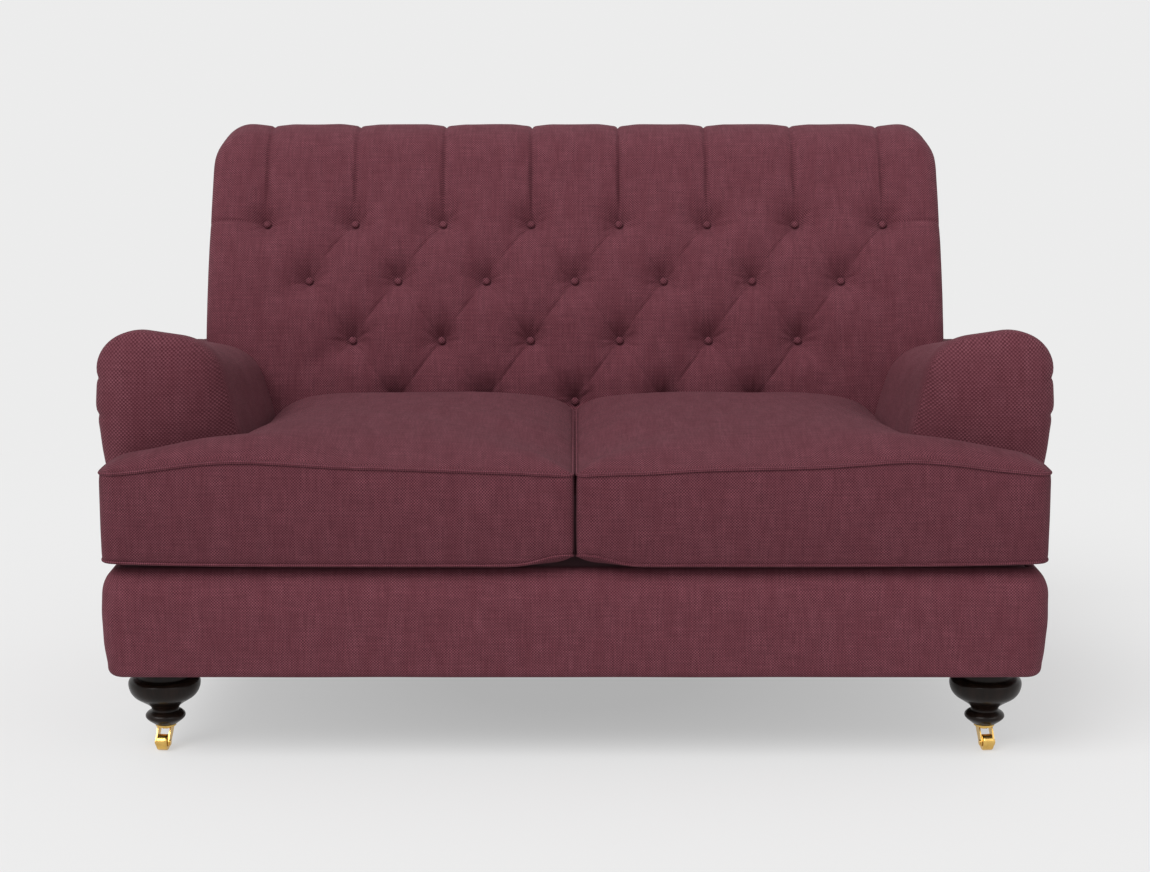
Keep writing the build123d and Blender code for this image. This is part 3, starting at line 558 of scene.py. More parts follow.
# Pleats as start, end, then depth at the start, half way and at the end, and reach
RIGHT_PLEAT = (0.013, 0.0042, 0.005, 0.0055)
LEFT_PLEAT = (0.009, 0.0028, 0.012, 0.0055)
ROLL_PLEAT = (0.012, 0.0048, 0.0040, 0.0040)
FOOT_PLEAT = (0.012, 0.005, 0.004, 0.006)
SIDE_PLEAT = (0.012, 0.0050, 0.0065, 0.0055)
EDGE_PLEAT = (0.012, 0.003, 0.0, 0.006)
SIDE_PLEAT_PAST = 0.05
EDGE_PLEAT_OUT, EDGE_PLEAT_DOWN = 0.055, 0.040
pleats = []
for row in range(1, len(BUTTON_COUNTS)):
    for x in row_places[row]:
        here = (x, row_runs[row])
        pleats.append(((x + BUTTON_PITCH / 2, row_runs[row - 1]), here, *RIGHT_PLEAT))
        pleats.append(((x - BUTTON_PITCH / 2, row_runs[row - 1]), here, *LEFT_PLEAT))
for x in row_places[0]:
    pleats.append(((x, TOP_RUN), (x, ROLL_END), *ROLL_PLEAT))
for x in row_places[-1]:
    pleats.append(((x, row_runs[-1]), (x, 0.0), *FOOT_PLEAT))
for side in (-1, 1):
    outer_button = (side * row_places[0][-1], TOP_RUN)
    pleats.append((outer_button, (side * (BACK_HALF + SIDE_PLEAT_PAST), TOP_RUN), *SIDE_PLEAT))
    for places, run in zip(row_places[1:], row_runs[1:]):
        x = side * places[-1]
        fade_out = (x + side * EDGE_PLEAT_OUT, run - EDGE_PLEAT_DOWN)
        pleats.append(((x, run), fade_out, *EDGE_PLEAT))

# The pit of a button, the sharp fold in a pleat, the crown of a diamond and the gathers
PIT_FLOOR, PIT_REACH, PIT_POWER = 0.006, 0.068, 2.5
FOLD_SHARE, FOLD_REACH = 0.65, 0.0022
STEEP_SIDE = 0.7
CROWN, CROWN_REACH, CROWN_SINK = 0.0032, 0.04, 0.0012
GATHER, GATHER_PLACE, GATHER_REACH = 0.0008, 0.022, 0.014


def buttoned(x, run):
    """How far the buttoned cover stands out from the plain back."""
    nearest = np.full(x.shape, FAR)
    spokes = np.zeros(x.shape)
    for bx, brun in buttons:
        away = np.hypot(x - bx, run - brun)
        angle = np.arctan2(run - brun, x - bx)
        closer = away < nearest
        nearest = np.where(closer, away, nearest)
        folds = np.sin(9 * angle + 31 * bx) + 0.6 * np.sin(14 * angle + 17 * brun)
        spokes = np.where(closer, folds, spokes)
    pit = np.clip(1 - np.maximum(nearest - PIT_FLOOR, 0) / PIT_REACH, 0, 1)
    pit = BUTTON_DEPTH * pit**PIT_POWER
    crease = np.zeros(x.shape)
    swell = np.full(x.shape, FAR)
    for start, end, first, middle, last, reach in pleats:
        along = np.array(end) - np.array(start)
        length = np.hypot(*along)
        dx, dr = x - start[0], run - start[1]
        share = np.clip((dx * along[0] + dr * along[1]) / length**2, 0, 1)
        off = np.hypot(dx - share * along[0], dr - share * along[1])
        above = (dr - share * along[1]) > 0
        depth = np.where(
            share < 0.5,
            first + (middle - first) * smooth_step(2 * share),
            middle + (last - middle) * smooth_step(2 * share - 1),
        )
        width = np.where(above, STEEP_SIDE * reach, reach)
        fold = (1 - FOLD_SHARE) * np.exp(-off / width) + FOLD_SHARE * np.exp(-off / FOLD_REACH)
        crease = np.maximum(crease, depth * fold)
        swell = np.minimum(swell, off)
    dip = (pit**3 + crease**3) ** (1 / 3)
    crown = CROWN * smooth_step(swell / CROWN_REACH)
    gathers = GATHER * spokes * np.exp(-(((nearest - GATHER_PLACE) / GATHER_REACH) ** 2))
    return crown - CROWN_SINK - dip + gathers


# The ends of the back round off, more so on the roll
END_ROUND = 0.026
END_ROUND_ROLL = 0.058
END_DEPTH_ROLL = 0.068
END_STEPS = 14
END_LEAD = 0.02
TAIL_RUN = 0.03
RELIEF_TAIL = 0.05
BACK_UNEVEN = 0.0007
END_CALM = 0.35
GRID_STEP = 0.0027
REAR_CLEAR = 0.0004
REAR_ROWS, FOOT_ROWS = 24, 12
REAR_PITCH = 0.022
end_turn = np.linspace(0, math.pi / 2, END_STEPS, endpoint=False)
edge = BACK_HALF - (END_ROUND_ROLL * (1 - np.cos(end_turn)))[::-1]
inner = np.linspace(-edge[0], edge[0], int(2 * edge[0] / GRID_STEP) | 1)
stations = np.concatenate([-edge[::-1], inner[1:-1], edge])
runs = np.linspace(FOOT_LIFT, ROLL_END, int((ROLL_END - FOOT_LIFT) / GRID_STEP))
flat_y, flat_z, lean = inside_back(np.minimum(runs, TOP_RUN))
rise = np.clip(runs - TOP_RUN, 0, RISE)
flat_y = flat_y + rise * math.sin(TOP_LEAN)
flat_z = flat_z + rise * math.cos(TOP_LEAN)
flat = (flat_y, flat_z, -np.cos(lean), np.sin(lean))
curled = roll_point(np.maximum(runs, ROLL_START))
flat_y, flat_z, out_y, out_z = np.where(runs > ROLL_START, curled, flat)
front_turn = ROLL_RADIUS * (math.pi / 2 - TOP_LEAN)
roll_share = smooth_step((runs - ROLL_START + END_LEAD) / front_turn)
tail = smooth_step((ROLL_END - runs) / TAIL_RUN)
end_round = END_ROUND + (END_ROUND_ROLL - END_ROUND) * roll_share
end_depth = END_ROUND + (END_DEPTH_ROLL - END_ROUND) * roll_share

grid_x, grid_run = np.meshgrid(stations, runs, indexing="ij")
into_end = np.clip(1 - (BACK_HALF - np.abs(grid_x)) / end_round, 0, 1)
inset = end_depth * (1 - np.sqrt(np.maximum(1 - into_end**2, 0))) * tail
swelling = buttoned(grid_x, grid_run) * smooth_step((ROLL_END - grid_run) / RELIEF_TAIL)
swelling += BACK_UNEVEN * ripple(grid_x, grid_run, grid_run, size=0.11, seed=1.3) * tail
stand = swelling * (1 - END_CALM * into_end) - inset
face = stacked(grid_x, flat_y + out_y * stand, flat_z + out_z * stand)
rear_z = np.linspace(flat_z[-1], BASE_TOP + FOOT_LIFT, REAR_ROWS)[1:]
rear = stacked(stations[:, None], outside_back(rear_z, PANEL + REAR_CLEAR), rear_z)
foot_y = np.linspace(outside_back(BASE_TOP, PANEL), flat_y[0], FOOT_ROWS)[1:-1]
foot = stacked(stations[:, None], foot_y, BASE_TOP + FOOT_LIFT)
shell = np.concatenate([face, rear, foot], 1)
rear_girth = ROLL_END + REAR_PITCH * np.arange(1, len(rear_z) + len(foot_y) + 2)
girth = np.concatenate([runs, rear_girth])
tufted_back = new_object("tufted_back_cover", *lattice(shell, stacked(stations[:, None], girth)))
finish_piece(tufted_back, plum, ["tufted_back"])

# Covered buttons: domes that turn under at the rim, as (radius, height)
button_profile = ((0.0, 0.0044), (0.0026, 0.0042), (0.0046, 0.0036), (0.0059, 0.0026))
button_profile += ((0.0067, 0.0012), (0.0069, -0.0004), (0.0065, -0.0020), (0.0054, -0.0032))
button_profile += ((0.0, -0.0036),)
BUTTON_SIDES = 20
BUTTON_RAISE = 0.0024
button_rings = len(button_profile) - 2
button_points, button_faces = [], []
turn = np.linspace(0, 2 * math.pi, BUTTON_SIDES, endpoint=False)
for bx, brun in buttons:
    y, z, bend = inside_back(brun)
    outward = np.array([0, -math.cos(bend), math.sin(bend)])
    upward = np.array([0, math.sin(bend), math.cos(bend)])
    seat = np.array([bx, float(y), float(z)]) - outward * (BUTTON_DEPTH - BUTTON_RAISE)
    top = len(button_points)
    for radius, height in button_profile:
        for t in turn[: 1 if radius == 0 else BUTTON_SIDES]:
            spoke = radius * (np.array([1, 0, 0]) * math.cos(t) + upward * math.sin(t))
            button_points.append(seat + spoke + outward * height)
    under = len(button_points) - 1
    last = under - BUTTON_SIDES
    for k in range(BUTTON_SIDES):
        n = (k + 1) % BUTTON_SIDES
        button_faces.append([top, top + 1 + k, top + 1 + n])
        for ring in range(button_rings - 1):
            a = top + 1 + ring * BUTTON_SIDES
            button_faces.append([a + k, a + BUTTON_SIDES + k, a + BUTTON_SIDES + n, a + n])
        button_faces.append([last + k, under, last + n])
button_places = np.array(button_points)
button_uv = np.concatenate([button_places[face][:, [0, 2]] for face in button_faces])
back_buttons = new_object("covered_buttons", button_places, button_faces, button_uv)
finish_piece(back_buttons, plum, ["back_buttons"])

# Arms: a soft front, a bulging inside, a domed top that falls towards the back
ARM_POINTS = 150
ARM_OUTLINE_STEP = 0.002
ARM_CENTRE = np.array([0.630, 0.475])
ARM_NOSE = 0.070
ARM_SQUARE = 3.4
ARM_RINGS = 72
ARM_WEAVE = 0.76


def arm_outline(top):
    """Section of the arm with its top at a height, as evenly spaced points (x, z)."""
    rise = top - BASE_TOP
    corners = (
        (0.538, BASE_TOP + FOOT_LIFT, 0.006),
        (ARM_INNER, BASE_TOP + 0.45 * rise, 0.110),
        (ARM_INNER + 0.038, top - 0.024, 0.085),
        (0.737, top + 0.009, 0.068),
        (0.746, BASE_TOP + 0.64 * rise, 0.110),
        (0.711, BASE_TOP + FOOT_LIFT, 0.006),
    )
    dense = rounded_path(corners, ARM_OUTLINE_STEP)
    along = running_length(dense, ring=True)
    wrapped = np.concatenate([dense, dense[:1]])
    places = np.linspace(0, along[-1], ARM_POINTS, endpoint=False)
    return stacked(*(np.interp(places, along, column) for column in wrapped.T))


# Height of the arm's top at its front, at the foot of the back and at its rear
arm_stations = np.array([0.0, SEAT_DEPTH - ARM_SETBACK, 0.756])
arm_tops = np.array([0.665, 0.583, 0.545])
arm_slope = np.polyfit(arm_stations, arm_tops, 2)
arm_length = float(outside_back(0.500, PANEL) - ARM_FRONT)
TURN_OUTER, TURN_WIDTH = 0.715, 0.20
TURN_DEPTH, TURN_RUN = 0.052, 0.30
LOW_START, LOW_SPAN = 0.10, 0.36


def turned_in(x, run):
    """How far the front of the arm draws back towards the seat."""
    inward = np.clip((TURN_OUTER - x) / TURN_WIDTH, 0, 1)
    return TURN_DEPTH * inward**2 * smooth_step(1 - run / TURN_RUN)


# The nose closes in on the arm's centre, but its foot stays down on the platform
arm_rings = []
nose_shares = np.linspace(0.04, 1, 26)[:-1] ** 0.6
for share in nose_shares:
    depth = ARM_NOSE * (1 - (1 - share**ARM_SQUARE) ** (1 / ARM_SQUARE))
    outline = arm_outline(float(np.polyval(arm_slope, depth)))
    low_down = smooth_step((ARM_CENTRE[1] - outline[:, 1]) / (ARM_CENTRE[1] - BASE_TOP))
    low_down = low_down * smooth_step((share - LOW_START) / LOW_SPAN)
    shares = stacked(share, share + (1 - share) * low_down)
    shrunk = ARM_CENTRE + (outline - ARM_CENTRE) * shares
    y = ARM_FRONT + depth + turned_in(shrunk[:, 0], depth)
    arm_rings.append(stacked(shrunk[:, 0], y, shrunk[:, 1]))
for run in np.linspace(ARM_NOSE, arm_length, ARM_RINGS):
    outline = arm_outline(float(np.polyval(arm_slope, run)))
    tilt = (run - ARM_NOSE) / (arm_length - ARM_NOSE)
    y = ARM_FRONT + run + tilt * (outside_back(outline[:, 1], PANEL) - ARM_FRONT - arm_length)
    y += turned_in(outline[:, 0], run)
    arm_rings.append(stacked(outline[:, 0], y, outline[:, 1]))
arm_shell = np.array(arm_rings)

# Unevenness of the arm, and two pleats that run back from the front along its outside
ARM_UNEVEN = 0.0016
ARM_PLEATS = (0.578, 0.519)
ARM_PLEAT_DEPTH, ARM_PLEAT_REACH = 0.0055, 0.0045
arm_x, arm_y, arm_z = np.moveaxis(arm_shell, -1, 0)
spoke = stacked(arm_x - ARM_CENTRE[0], 0.0, arm_z - ARM_CENTRE[1])
spoke = spoke / np.maximum(np.linalg.norm(spoke, axis=-1, keepdims=True), TINY)
soft = smooth_step((arm_z - BASE_TOP) / 0.06)
uneven = ARM_UNEVEN * ripple(arm_x, arm_y, arm_z, size=0.16, seed=2.2) * soft
outer_side = smooth_step((arm_x - 0.690) / 0.04)
fade = smooth_step(1 - (arm_y - ARM_FRONT) / 0.30)
for pleat_z in ARM_PLEATS:
    sag = pleat_z - 0.10 * np.maximum(arm_y - ARM_FRONT - 0.05, 0)
    fold = np.exp(-np.abs(arm_z - sag) / ARM_PLEAT_REACH)
    uneven -= ARM_PLEAT_DEPTH * outer_side * fade * fold
arm_shell = arm_shell + spoke * uneven[..., None]

# The weave runs along the arm, and straight over its front
GIRTH_RING = 30
FRONT_SHARE = 0.94
arm_runs = running_length(arm_shell[:, ARM_POINTS // 2])
arm_girth = running_length(arm_shell[GIRTH_RING], ring=True)
side_map = stacked(arm_girth, arm_runs[:, None])
on_front = 4 * ARM_POINTS * int(np.sum(nose_shares < FRONT_SHARE))
for side, name in ((1, "right_arm_pad"), (-1, "left_arm_pad")):
    shell = arm_shell * np.array([side, 1, 1])
    front_map = np.concatenate([shell, shell[:, :1]], 1)[..., [0, 2]]
    points, faces, corner_uv = lattice(shell, side_map, cap_axes=(0, 2))
    corner_uv[:on_front] = lattice(shell, front_map)[2][:on_front]
    corner_uv = corner_uv * ARM_WEAVE
    if side > 0:
        faces, corner_uv = flipped(faces, corner_uv)
    pad = new_object(name.replace("_pad", "_cover"), points, faces, corner_uv)
    finish_piece(pad, plum_arm, [name])

# Base: one padded band round the seat frame, with a section given as (out from it, height)
BAND_BOTTOM = BASE_BOTTOM - 0.004
BAND_IN = 0.0015
BAND_ROUND_OUT, BAND_ROUND_DOWN = 0.028, 0.044
BAND_TAPER = 0.0045
BAND_LOW_OUT, BAND_LOW_ROUND = 0.0295, 0.012
BAND_PITCH = 0.012
BAND_FACE = 20
BAND_FAT, BAND_SINK, BAND_UNEVEN = 0.0025, 0.0015, 0.0014
band_profile = [(BAND_IN, BASE_TOP)]
for t in np.linspace(0, math.pi / 2, 12):
    out = BORDER_PAD - BAND_ROUND_OUT + BAND_ROUND_OUT * math.sin(t)
    band_profile.append((out, BASE_TOP - BAND_ROUND_DOWN + BAND_ROUND_DOWN * math.cos(t)))
side_top, side_low = BASE_TOP - 0.05, BAND_BOTTOM + 0.02
for z in np.linspace(side_top, side_low, 14):
    share = (side_top - z) / (side_top - side_low)
    band_profile.append((BORDER_PAD - BAND_TAPER * share**2, z))
for t in np.linspace(0.1, math.pi / 2, 8):
    out = BAND_LOW_OUT - BAND_LOW_ROUND * (1 - math.cos(t))
    band_profile.append((out, BAND_BOTTOM + BAND_LOW_ROUND - BAND_LOW_ROUND * math.sin(t)))
band_profile += [(BAND_IN, z) for z in np.linspace(BAND_BOTTOM, BASE_TOP, 8)[:-1]]
band_profile = np.array(band_profile)
corners = ((-1, -1), (1, -1), (1, 1), (-1, 1))
band_middle = (RAIL_FRONT + RAIL_REAR) / 2
half_depth = (RAIL_REAR - RAIL_FRONT) / 2
frame_corners = np.array([(cx * FRAME_HALF, band_middle + cy * half_depth) for cx, cy in corners])
path, outs = [], []
for (cx, cy), corner, following in zip(corners, frame_corners, np.roll(frame_corners, -1, 0)):
    start = math.atan2(cy, cx) - math.pi / 4
    for t in np.linspace(0, math.pi / 2, 9):
        path.append(corner)
        outs.append((math.cos(start + t), math.sin(start + t)))
    straight = np.linalg.norm(following - corner)
    for t in np.linspace(0, 1, int(straight / BAND_PITCH) + 1)[1:-1]:
        path.append(corner + (following - corner) * t)
        outs.append(outs[-1])
path, outs = np.array(path), np.array(outs)
reach = band_profile[:, 0]
loop_xy = path[:, None] + outs[:, None] * reach[None, :, None]
band = stacked(loop_xy[..., 0], loop_xy[..., 1], band_profile[:, 1])
shows = smooth_step((reach - 0.004) / 0.02)
band_x, band_y, band_z = np.moveaxis(band, -1, 0)
wave = BAND_UNEVEN * ripple(band_x, band_y, 2 * band_z, size=0.24, seed=0.7) * shows
up_share = np.clip((band_z - BASE_BOTTOM) / (BASE_TOP - BASE_BOTTOM), 0, 1)
fat = BAND_FAT * shows * np.sin(np.pi * up_share)
band[..., :2] += outs[:, None] * (wave + fat - BAND_SINK * shows)[..., None]
along = running_length(loop_xy[:, BAND_FACE], ring=True)
around = running_length(band_profile)
around = np.append(around, around[-1] + 0.02)
base_band = new_object("base_cover", *ring_lattice(band, stacked(along[:, None], around)))
borders = ["front_border", "rear_border", "left_border", "right_border"]
finish_piece(base_band, plum, borders)

# Outside back: a tight panel, a little domed
PANEL_HALF = 0.647
PANEL_ROUND, PANEL_SHARE = 0.012, 0.55
PANEL_DOME, PANEL_DOME_REACH = 0.0022, 0.15
PANEL_BOARD = 0.0025
panel_low = BASE_TOP + REST_LIFT
panel_high = roll_point(ROLL_END)[1] - 0.001
panel_x = np.linspace(-PANEL_HALF, PANEL_HALF, 90)
panel_z = np.linspace(panel_low, panel_high, 40)
px, pz = np.meshgrid(panel_x, panel_z, indexing="ij")
rim = np.minimum(PANEL_HALF - np.abs(px), np.minimum(pz - panel_low, panel_high - pz))
dome = PANEL * np.sqrt(np.clip(rim / PANEL_ROUND, 0, 1)) * PANEL_SHARE
dome += PANEL_DOME * smooth_step(rim / PANEL_DOME_REACH)
dome += 0.0005 * ripple(px, pz, pz, size=0.3, seed=4.1) * smooth_step(rim / 0.05)
panel_y = outside_back(pz, PANEL) + dome * math.cos(OUTSIDE_LEAN)
outer = stacked(px, panel_y, pz - dome * math.sin(OUTSIDE_LEAN))
points, faces, corner_uv = lattice(outer, stacked(px, pz), closed=False)
panel_back = new_object("outside_back_cover", points, *flipped(faces, corner_uv))
thick = panel_back.modifiers.new("board", "SOLIDIFY")
thick.thickness = PANEL_BOARD
thick.offset = -1
finish_piece(panel_back, plum, ["outside_back_panel"])

# Loose cushions: the plan, given for the right one, and the room left round it
CUSHION_GAP = 0.001
CUSHION_NOSE = FRONT - 0.008
CUSHION_SIDE = ARM_INNER - CUSHION_GAP
CUSHION_REAR = FRONT + SEAT_DEPTH - CUSHION_GAP
CUSHION_IN = 0.0009
EAR_SIDE = 0.720
EAR_REAR = ARM_FRONT - CUSHION_GAP
PLAN_HEIGHT = 0.36
SEAM_INSET, INNER_INSET = 0.004, 0.0024
SEAM_STEP = 0.006
# Heights of the seams, their arches and lifts
TOP_SEAM, LOW_SEAM = 0.4495, 0.3105
FRONT_ARCH, REAR_ARCH = 0.0125, 0.0245
INNER_DROP = 0.76
ARM_LIFT, ARM_LIFT_REACH, ARM_LIFT_REAR = 0.026, 0.085, 0.15
EAR_LIFT = 0.006
INNER_LIFT, INNER_LIFT_REACH, INNER_LIFT_DEPTH = 0.017, 0.06, 0.12
# The block that is blown up, its crown and what is held at its seams
BLOCK_LOW, BLOCK_HIGH = 0.31, 0.45
SIM_VOXEL = 0.0075
TOP_FACE, LOW_FACE = 0.97, 0.03
CUSHION_CROWN, CROWN_RISE, LOW_RISE = 0.023, 0.028, 0.03
HELD_REACH, HELD_TOP, HELD_LOW = 0.006, 0.955, 0.045
SIM_FRAMES = 20
SIM_CAP = 0.024
CLOTH_SETTINGS = {
    "quality": 5,
    "mass": 0.3,
    "tension_stiffness": 12,
    "compression_stiffness": 12,
    "shear_stiffness": 4,
    "bending_stiffness": 0.6,
    "use_pressure": True,
    "uniform_pressure_force": 4.0,
    "vertex_group_mass": "held",
    "pin_stiffness": 1.0,
}
# Unevenness after it, the press of one cushion against the other, and the piping
TOP_UNEVEN, SIDE_UNEVEN = 0.0013, 0.0009
INNER_PRESS, INNER_PRESS_REACH = 0.0045, 0.06
SEAM_RADIUS = 0.0026
LOW_SEAM_RADIUS = 0.0024
PIPING_LIFT = 0.0012
PIPING_CLEAR = 0.0004


def top_seam(x, y):
    """Height of the upper seam, which arches between its corners and rises beside the arm."""
    behind = smooth_step((y - EAR_REAR) / 0.15)
    front_arch = FRONT_ARCH * np.sin(math.pi * np.clip(x / EAR_SIDE, 0, 1))
    drop = np.where(2 * x < CUSHION_SIDE, INNER_DROP, 1.0)
    rear_arch = REAR_ARCH * (1 - drop * np.clip(np.abs(2 * x / CUSHION_SIDE - 1), 0, 1) ** 4)
    along_arm = (y - EAR_REAR) / np.where(y > EAR_REAR, ARM_LIFT_REAR, ARM_LIFT_REACH)
    beside_arm = np.exp(-(((x - CUSHION_SIDE) / ARM_LIFT_REACH) ** 2 + along_arm**2) / 2)
    return TOP_SEAM + front_arch * (1 - behind) + rear_arch * behind + ARM_LIFT * beside_arm


def low_seam(x, y):
    """Height of the lower seam, which lifts at the front corners."""
    near_front = np.exp(-np.maximum(y - CUSHION_NOSE, 0) / INNER_LIFT_DEPTH)
    inner_lift = INNER_LIFT * np.exp(-(np.abs(x) / INNER_LIFT_REACH) ** 3) * near_front
    return LOW_SEAM + EAR_LIFT * np.clip(x / EAR_SIDE, 0, 1) ** 6 + inner_lift


def rear_edge(z):
    """Y of the inside back that the cushion leans against."""
    return CUSHION_REAR + (z - BASE_TOP) * math.tan(LUMBAR_LEAN)


def cushion_plan(inset):
    """Plan of the right cushion as (x, y, radius) corners."""
    inner_x = CUSHION_IN + INNER_INSET
    rear = float(rear_edge(PLAN_HEIGHT))
    return (
        (inner_x, CUSHION_NOSE + inset, 0.008),
        (EAR_SIDE - inset, CUSHION_NOSE + inset, 0.026),
        (EAR_SIDE - inset, EAR_REAR - inset, 0.022),
        (CUSHION_SIDE - inset, EAR_REAR - inset, 0.016),
        (CUSHION_SIDE - inset, rear - inset, 0.020),
        (inner_x, rear - inset, 0.020),
    )


def edge_distance(x, y, path):
    """Distance of plan points from the path of the seam."""
    result = np.full(x.shape, FAR)
    for a, b in zip(path, np.roll(path, -1, 0)):
        along = b - a
        dx, dy = x - a[0], y - a[1]
        share = np.clip((dx * along[0] + dy * along[1]) / (along @ along), 0, 1)
        result = np.minimum(result, np.hypot(dx - share * along[0], dy - share * along[1]))
    return result


def cushion_start(name, side):
    """Closed T-shaped block, remeshed, with arched seams and most of its crown."""
    seam = rounded_path(cushion_plan(SEAM_INSET), SEAM_STEP)
    count = len(seam)
    points = [(side * x, y, z) for z in (BLOCK_LOW, BLOCK_HIGH) for x, y in seam]
    faces = [[k, (k + 1) % count, count + (k + 1) % count, count + k] for k in range(count)]
    faces += [list(range(count))[::-1], list(range(count, 2 * count))]
    if side < 0:
        faces = [face[::-1] for face in faces]
    block = new_object(name, points, faces)
    add_remesh(block, SIM_VOXEL)
    shaped = apply_modifiers(block)
    p = read_points(shaped)
    x, y = p[:, 0] * side, p[:, 1]
    height = np.clip((p[:, 2] - BLOCK_LOW) / (BLOCK_HIGH - BLOCK_LOW), 0, 1)
    inside = edge_distance(x, y, seam[::3])
    upper, lower = top_seam(x, y), low_seam(x, y)
    z = lower + height * (upper - lower)
    crown = CUSHION_CROWN * (1 - np.exp(-inside / CROWN_RISE))
    belly = (BASE_TOP + CUSHION_GAP - lower) * (1 - np.exp(-inside / LOW_RISE))
    z = np.where(height > TOP_FACE, z + crown, z)
    z = np.where(height < LOW_FACE, lower + belly, z)
    write_points(shaped, stacked(p[:, 0], y, z))
    box_map(shaped)
    at_seam = (inside < HELD_REACH) & ((height > HELD_TOP) | (height < HELD_LOW))
    return block, at_seam, seam


def inflate(block, at_seam):
    """Blow the cover up between its held seams, and cap how far it may swell."""
    start = read_points(block.data)
    held = block.vertex_groups.new(name="held")
    held.add([int(k) for k in np.nonzero(at_seam)[0]], 1.0, "REPLACE")
    cloth = block.modifiers.new("cloth", "CLOTH")
    for key, value in CLOTH_SETTINGS.items():
        setattr(cloth.settings, key, value)
    cloth.settings.effector_weights.gravity = 0
    cloth.collision_settings.use_collision = False
    cloth.point_cache.frame_start = 1
    cloth.point_cache.frame_end = SIM_FRAMES
    for step in range(1, SIM_FRAMES + 1):
        bpy.context.scene.frame_set(step)
    swollen = evaluated_mesh(block)
    moved = read_points(swollen) - start
    bpy.data.meshes.remove(swollen)
    block.modifiers.clear()
    block.vertex_groups.clear()
    bpy.context.scene.frame_set(1)
    far = np.linalg.norm(moved, axis=1)
    kept = SIM_CAP * np.tanh(far / SIM_CAP)
    write_points(block.data, start + moved * (kept / np.maximum(far, TINY))[:, None])


def settle(block, side, seed):
    """Press the cushion against what it rests on, and leave the cloth a little uneven."""
    p = read_points(block.data)
    x, y, z = p[:, 0] * side, p[:, 1], p[:, 2]
    lift = smooth_step((z - BASE_TOP - 0.01) / 0.03)
    z = z + TOP_UNEVEN * ripple(x, y, z, size=0.19, seed=seed) * lift
    y = y + SIDE_UNEVEN * ripple(x, z, y, size=0.13, seed=seed + 1) * lift
    gap = np.maximum(x - CUSHION_IN, 0)
    press = INNER_PRESS * gap / (gap + INNER_PRESS) * np.exp(-gap / INNER_PRESS_REACH)
    x = CUSHION_IN + gap - press
    x = np.where(y > EAR_REAR, np.minimum(x, CUSHION_SIDE), x)
    y = np.where(x > CUSHION_SIDE + CUSHION_GAP, np.minimum(y, EAR_REAR), y)
    y = np.minimum(y, rear_edge(z))
    z = np.maximum(z, BASE_TOP + REST_LIFT)
    write_points(block.data, stacked(x * side, y, z))


def lay_on(surface, path, lift):
    """Path drawn onto the nearest part of a surface, lifted off it a little and smoothed."""
    laid = []
    for point in path:
        _, place, normal, _ = surface.closest_point_on_mesh(Vector(point))
        laid.append(place + lift * normal)
    laid = np.array(laid)
    for _ in range(3):
        laid = (np.roll(laid, 1, 0) + 2 * laid + np.roll(laid, -1, 0)) / 4
    return laid


for side, word, seed in ((1, "right", 0.4), (-1, "left", 2.9)):
    cushion, at_seam, seam = cushion_start(f"{word}_cushion_cover", side)
    inflate(cushion, at_seam)
    settle(cushion, side, seed)
    fine = cushion.modifiers.new("fine", "SUBSURF")
    fine.levels = 1
    fine.render_levels = 1
    surface = cushion.evaluated_get(bpy.context.evaluated_depsgraph_get())
    laid = []
    for seam_height in (top_seam, low_seam):
        height = seam_height(seam[:, 0], seam[:, 1])
        path = stacked(seam[:, 0] * side, seam[:, 1], height)
        line = lay_on(surface, path, PIPING_LIFT)
        line[:, 0] = side * np.maximum(side * line[:, 0], SEAM_RADIUS + PIPING_CLEAR)
        laid.append(line)
    body = f"{word}_cushion"
    finish_piece(cushion, plum_seat_painted_shade, [f"{word}_seat_cushion"], body=body)
    for level, path, radius in zip(("top", "low"), laid, (SEAM_RADIUS, LOW_SEAM_RADIUS)):
        piping = new_object(f"{word}_cushion_{level}_piping", *tube(path, radius))
        finish_piece(piping, plum_seat_painted_shade, [], body=body)

# Seat platform under the cushions
DECK_VOXEL = 0.007
DECK_SINK = 0.0002
solid_deck = nodes["seat_deck"].data
deck = new_object(
    "seat_platform",
    [vertex.co for vertex in solid_deck.vertices],
    [polygon.vertices for polygon in solid_deck.polygons],
)
add_remesh(deck, DECK_VOXEL)
soften = deck.modifiers.new("soften", "SMOOTH")
soften.iterations = 4
shaped = apply_modifiers(deck)
places = read_points(shaped)
places[:, 2] = np.minimum(places[:, 2], BASE_TOP - DECK_SINK)
write_points(shaped, places)
box_map(shaped)
finish_piece(deck, lining, ["seat_deck"])

# Dust cover: cloth tacked under the rails, notched round the legs
NOTCH = 0.046
SHEET_CLEAR = 0.0002
SHEET_SAG = 0.006
sheet_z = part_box("dust_cover")[0].z
sheet_width, sheet_length = 2 * FRAME_HALF, RAIL_REAR - RAIL_FRONT
notch_x = LEG_X - NOTCH
notch_front = LEG_Y + NOTCH
notch_rear = RAIL_REAR - 0.10
even_x = np.linspace(-FRAME_HALF, FRAME_HALF, 60)
even_y = np.linspace(RAIL_FRONT, RAIL_REAR, 34)
lines_x = np.unique(np.concatenate([even_x, [-notch_x, notch_x]]))
lines_y = np.unique(np.concatenate([even_y, [notch_front, notch_rear]]))
sx, sy = np.meshgrid(lines_x, lines_y, indexing="ij")
fall = SHEET_SAG * np.sin(math.pi * (sx / FRAME_HALF + 1)) ** 2
fall = fall * np.sin(math.pi * (sy - RAIL_FRONT) / sheet_length)
cloth_points = stacked(sx, sy, sheet_z - SHEET_CLEAR - np.abs(fall))
points, faces, corner_uv = lattice(cloth_points, stacked(sx, sy), closed=False)
faces, corner_uv = flipped(faces, corner_uv)
faces = np.array(faces)
middle_x, middle_y, _ = points[faces].mean(1).T
at_end = (middle_y < notch_front) | (middle_y > notch_rear)
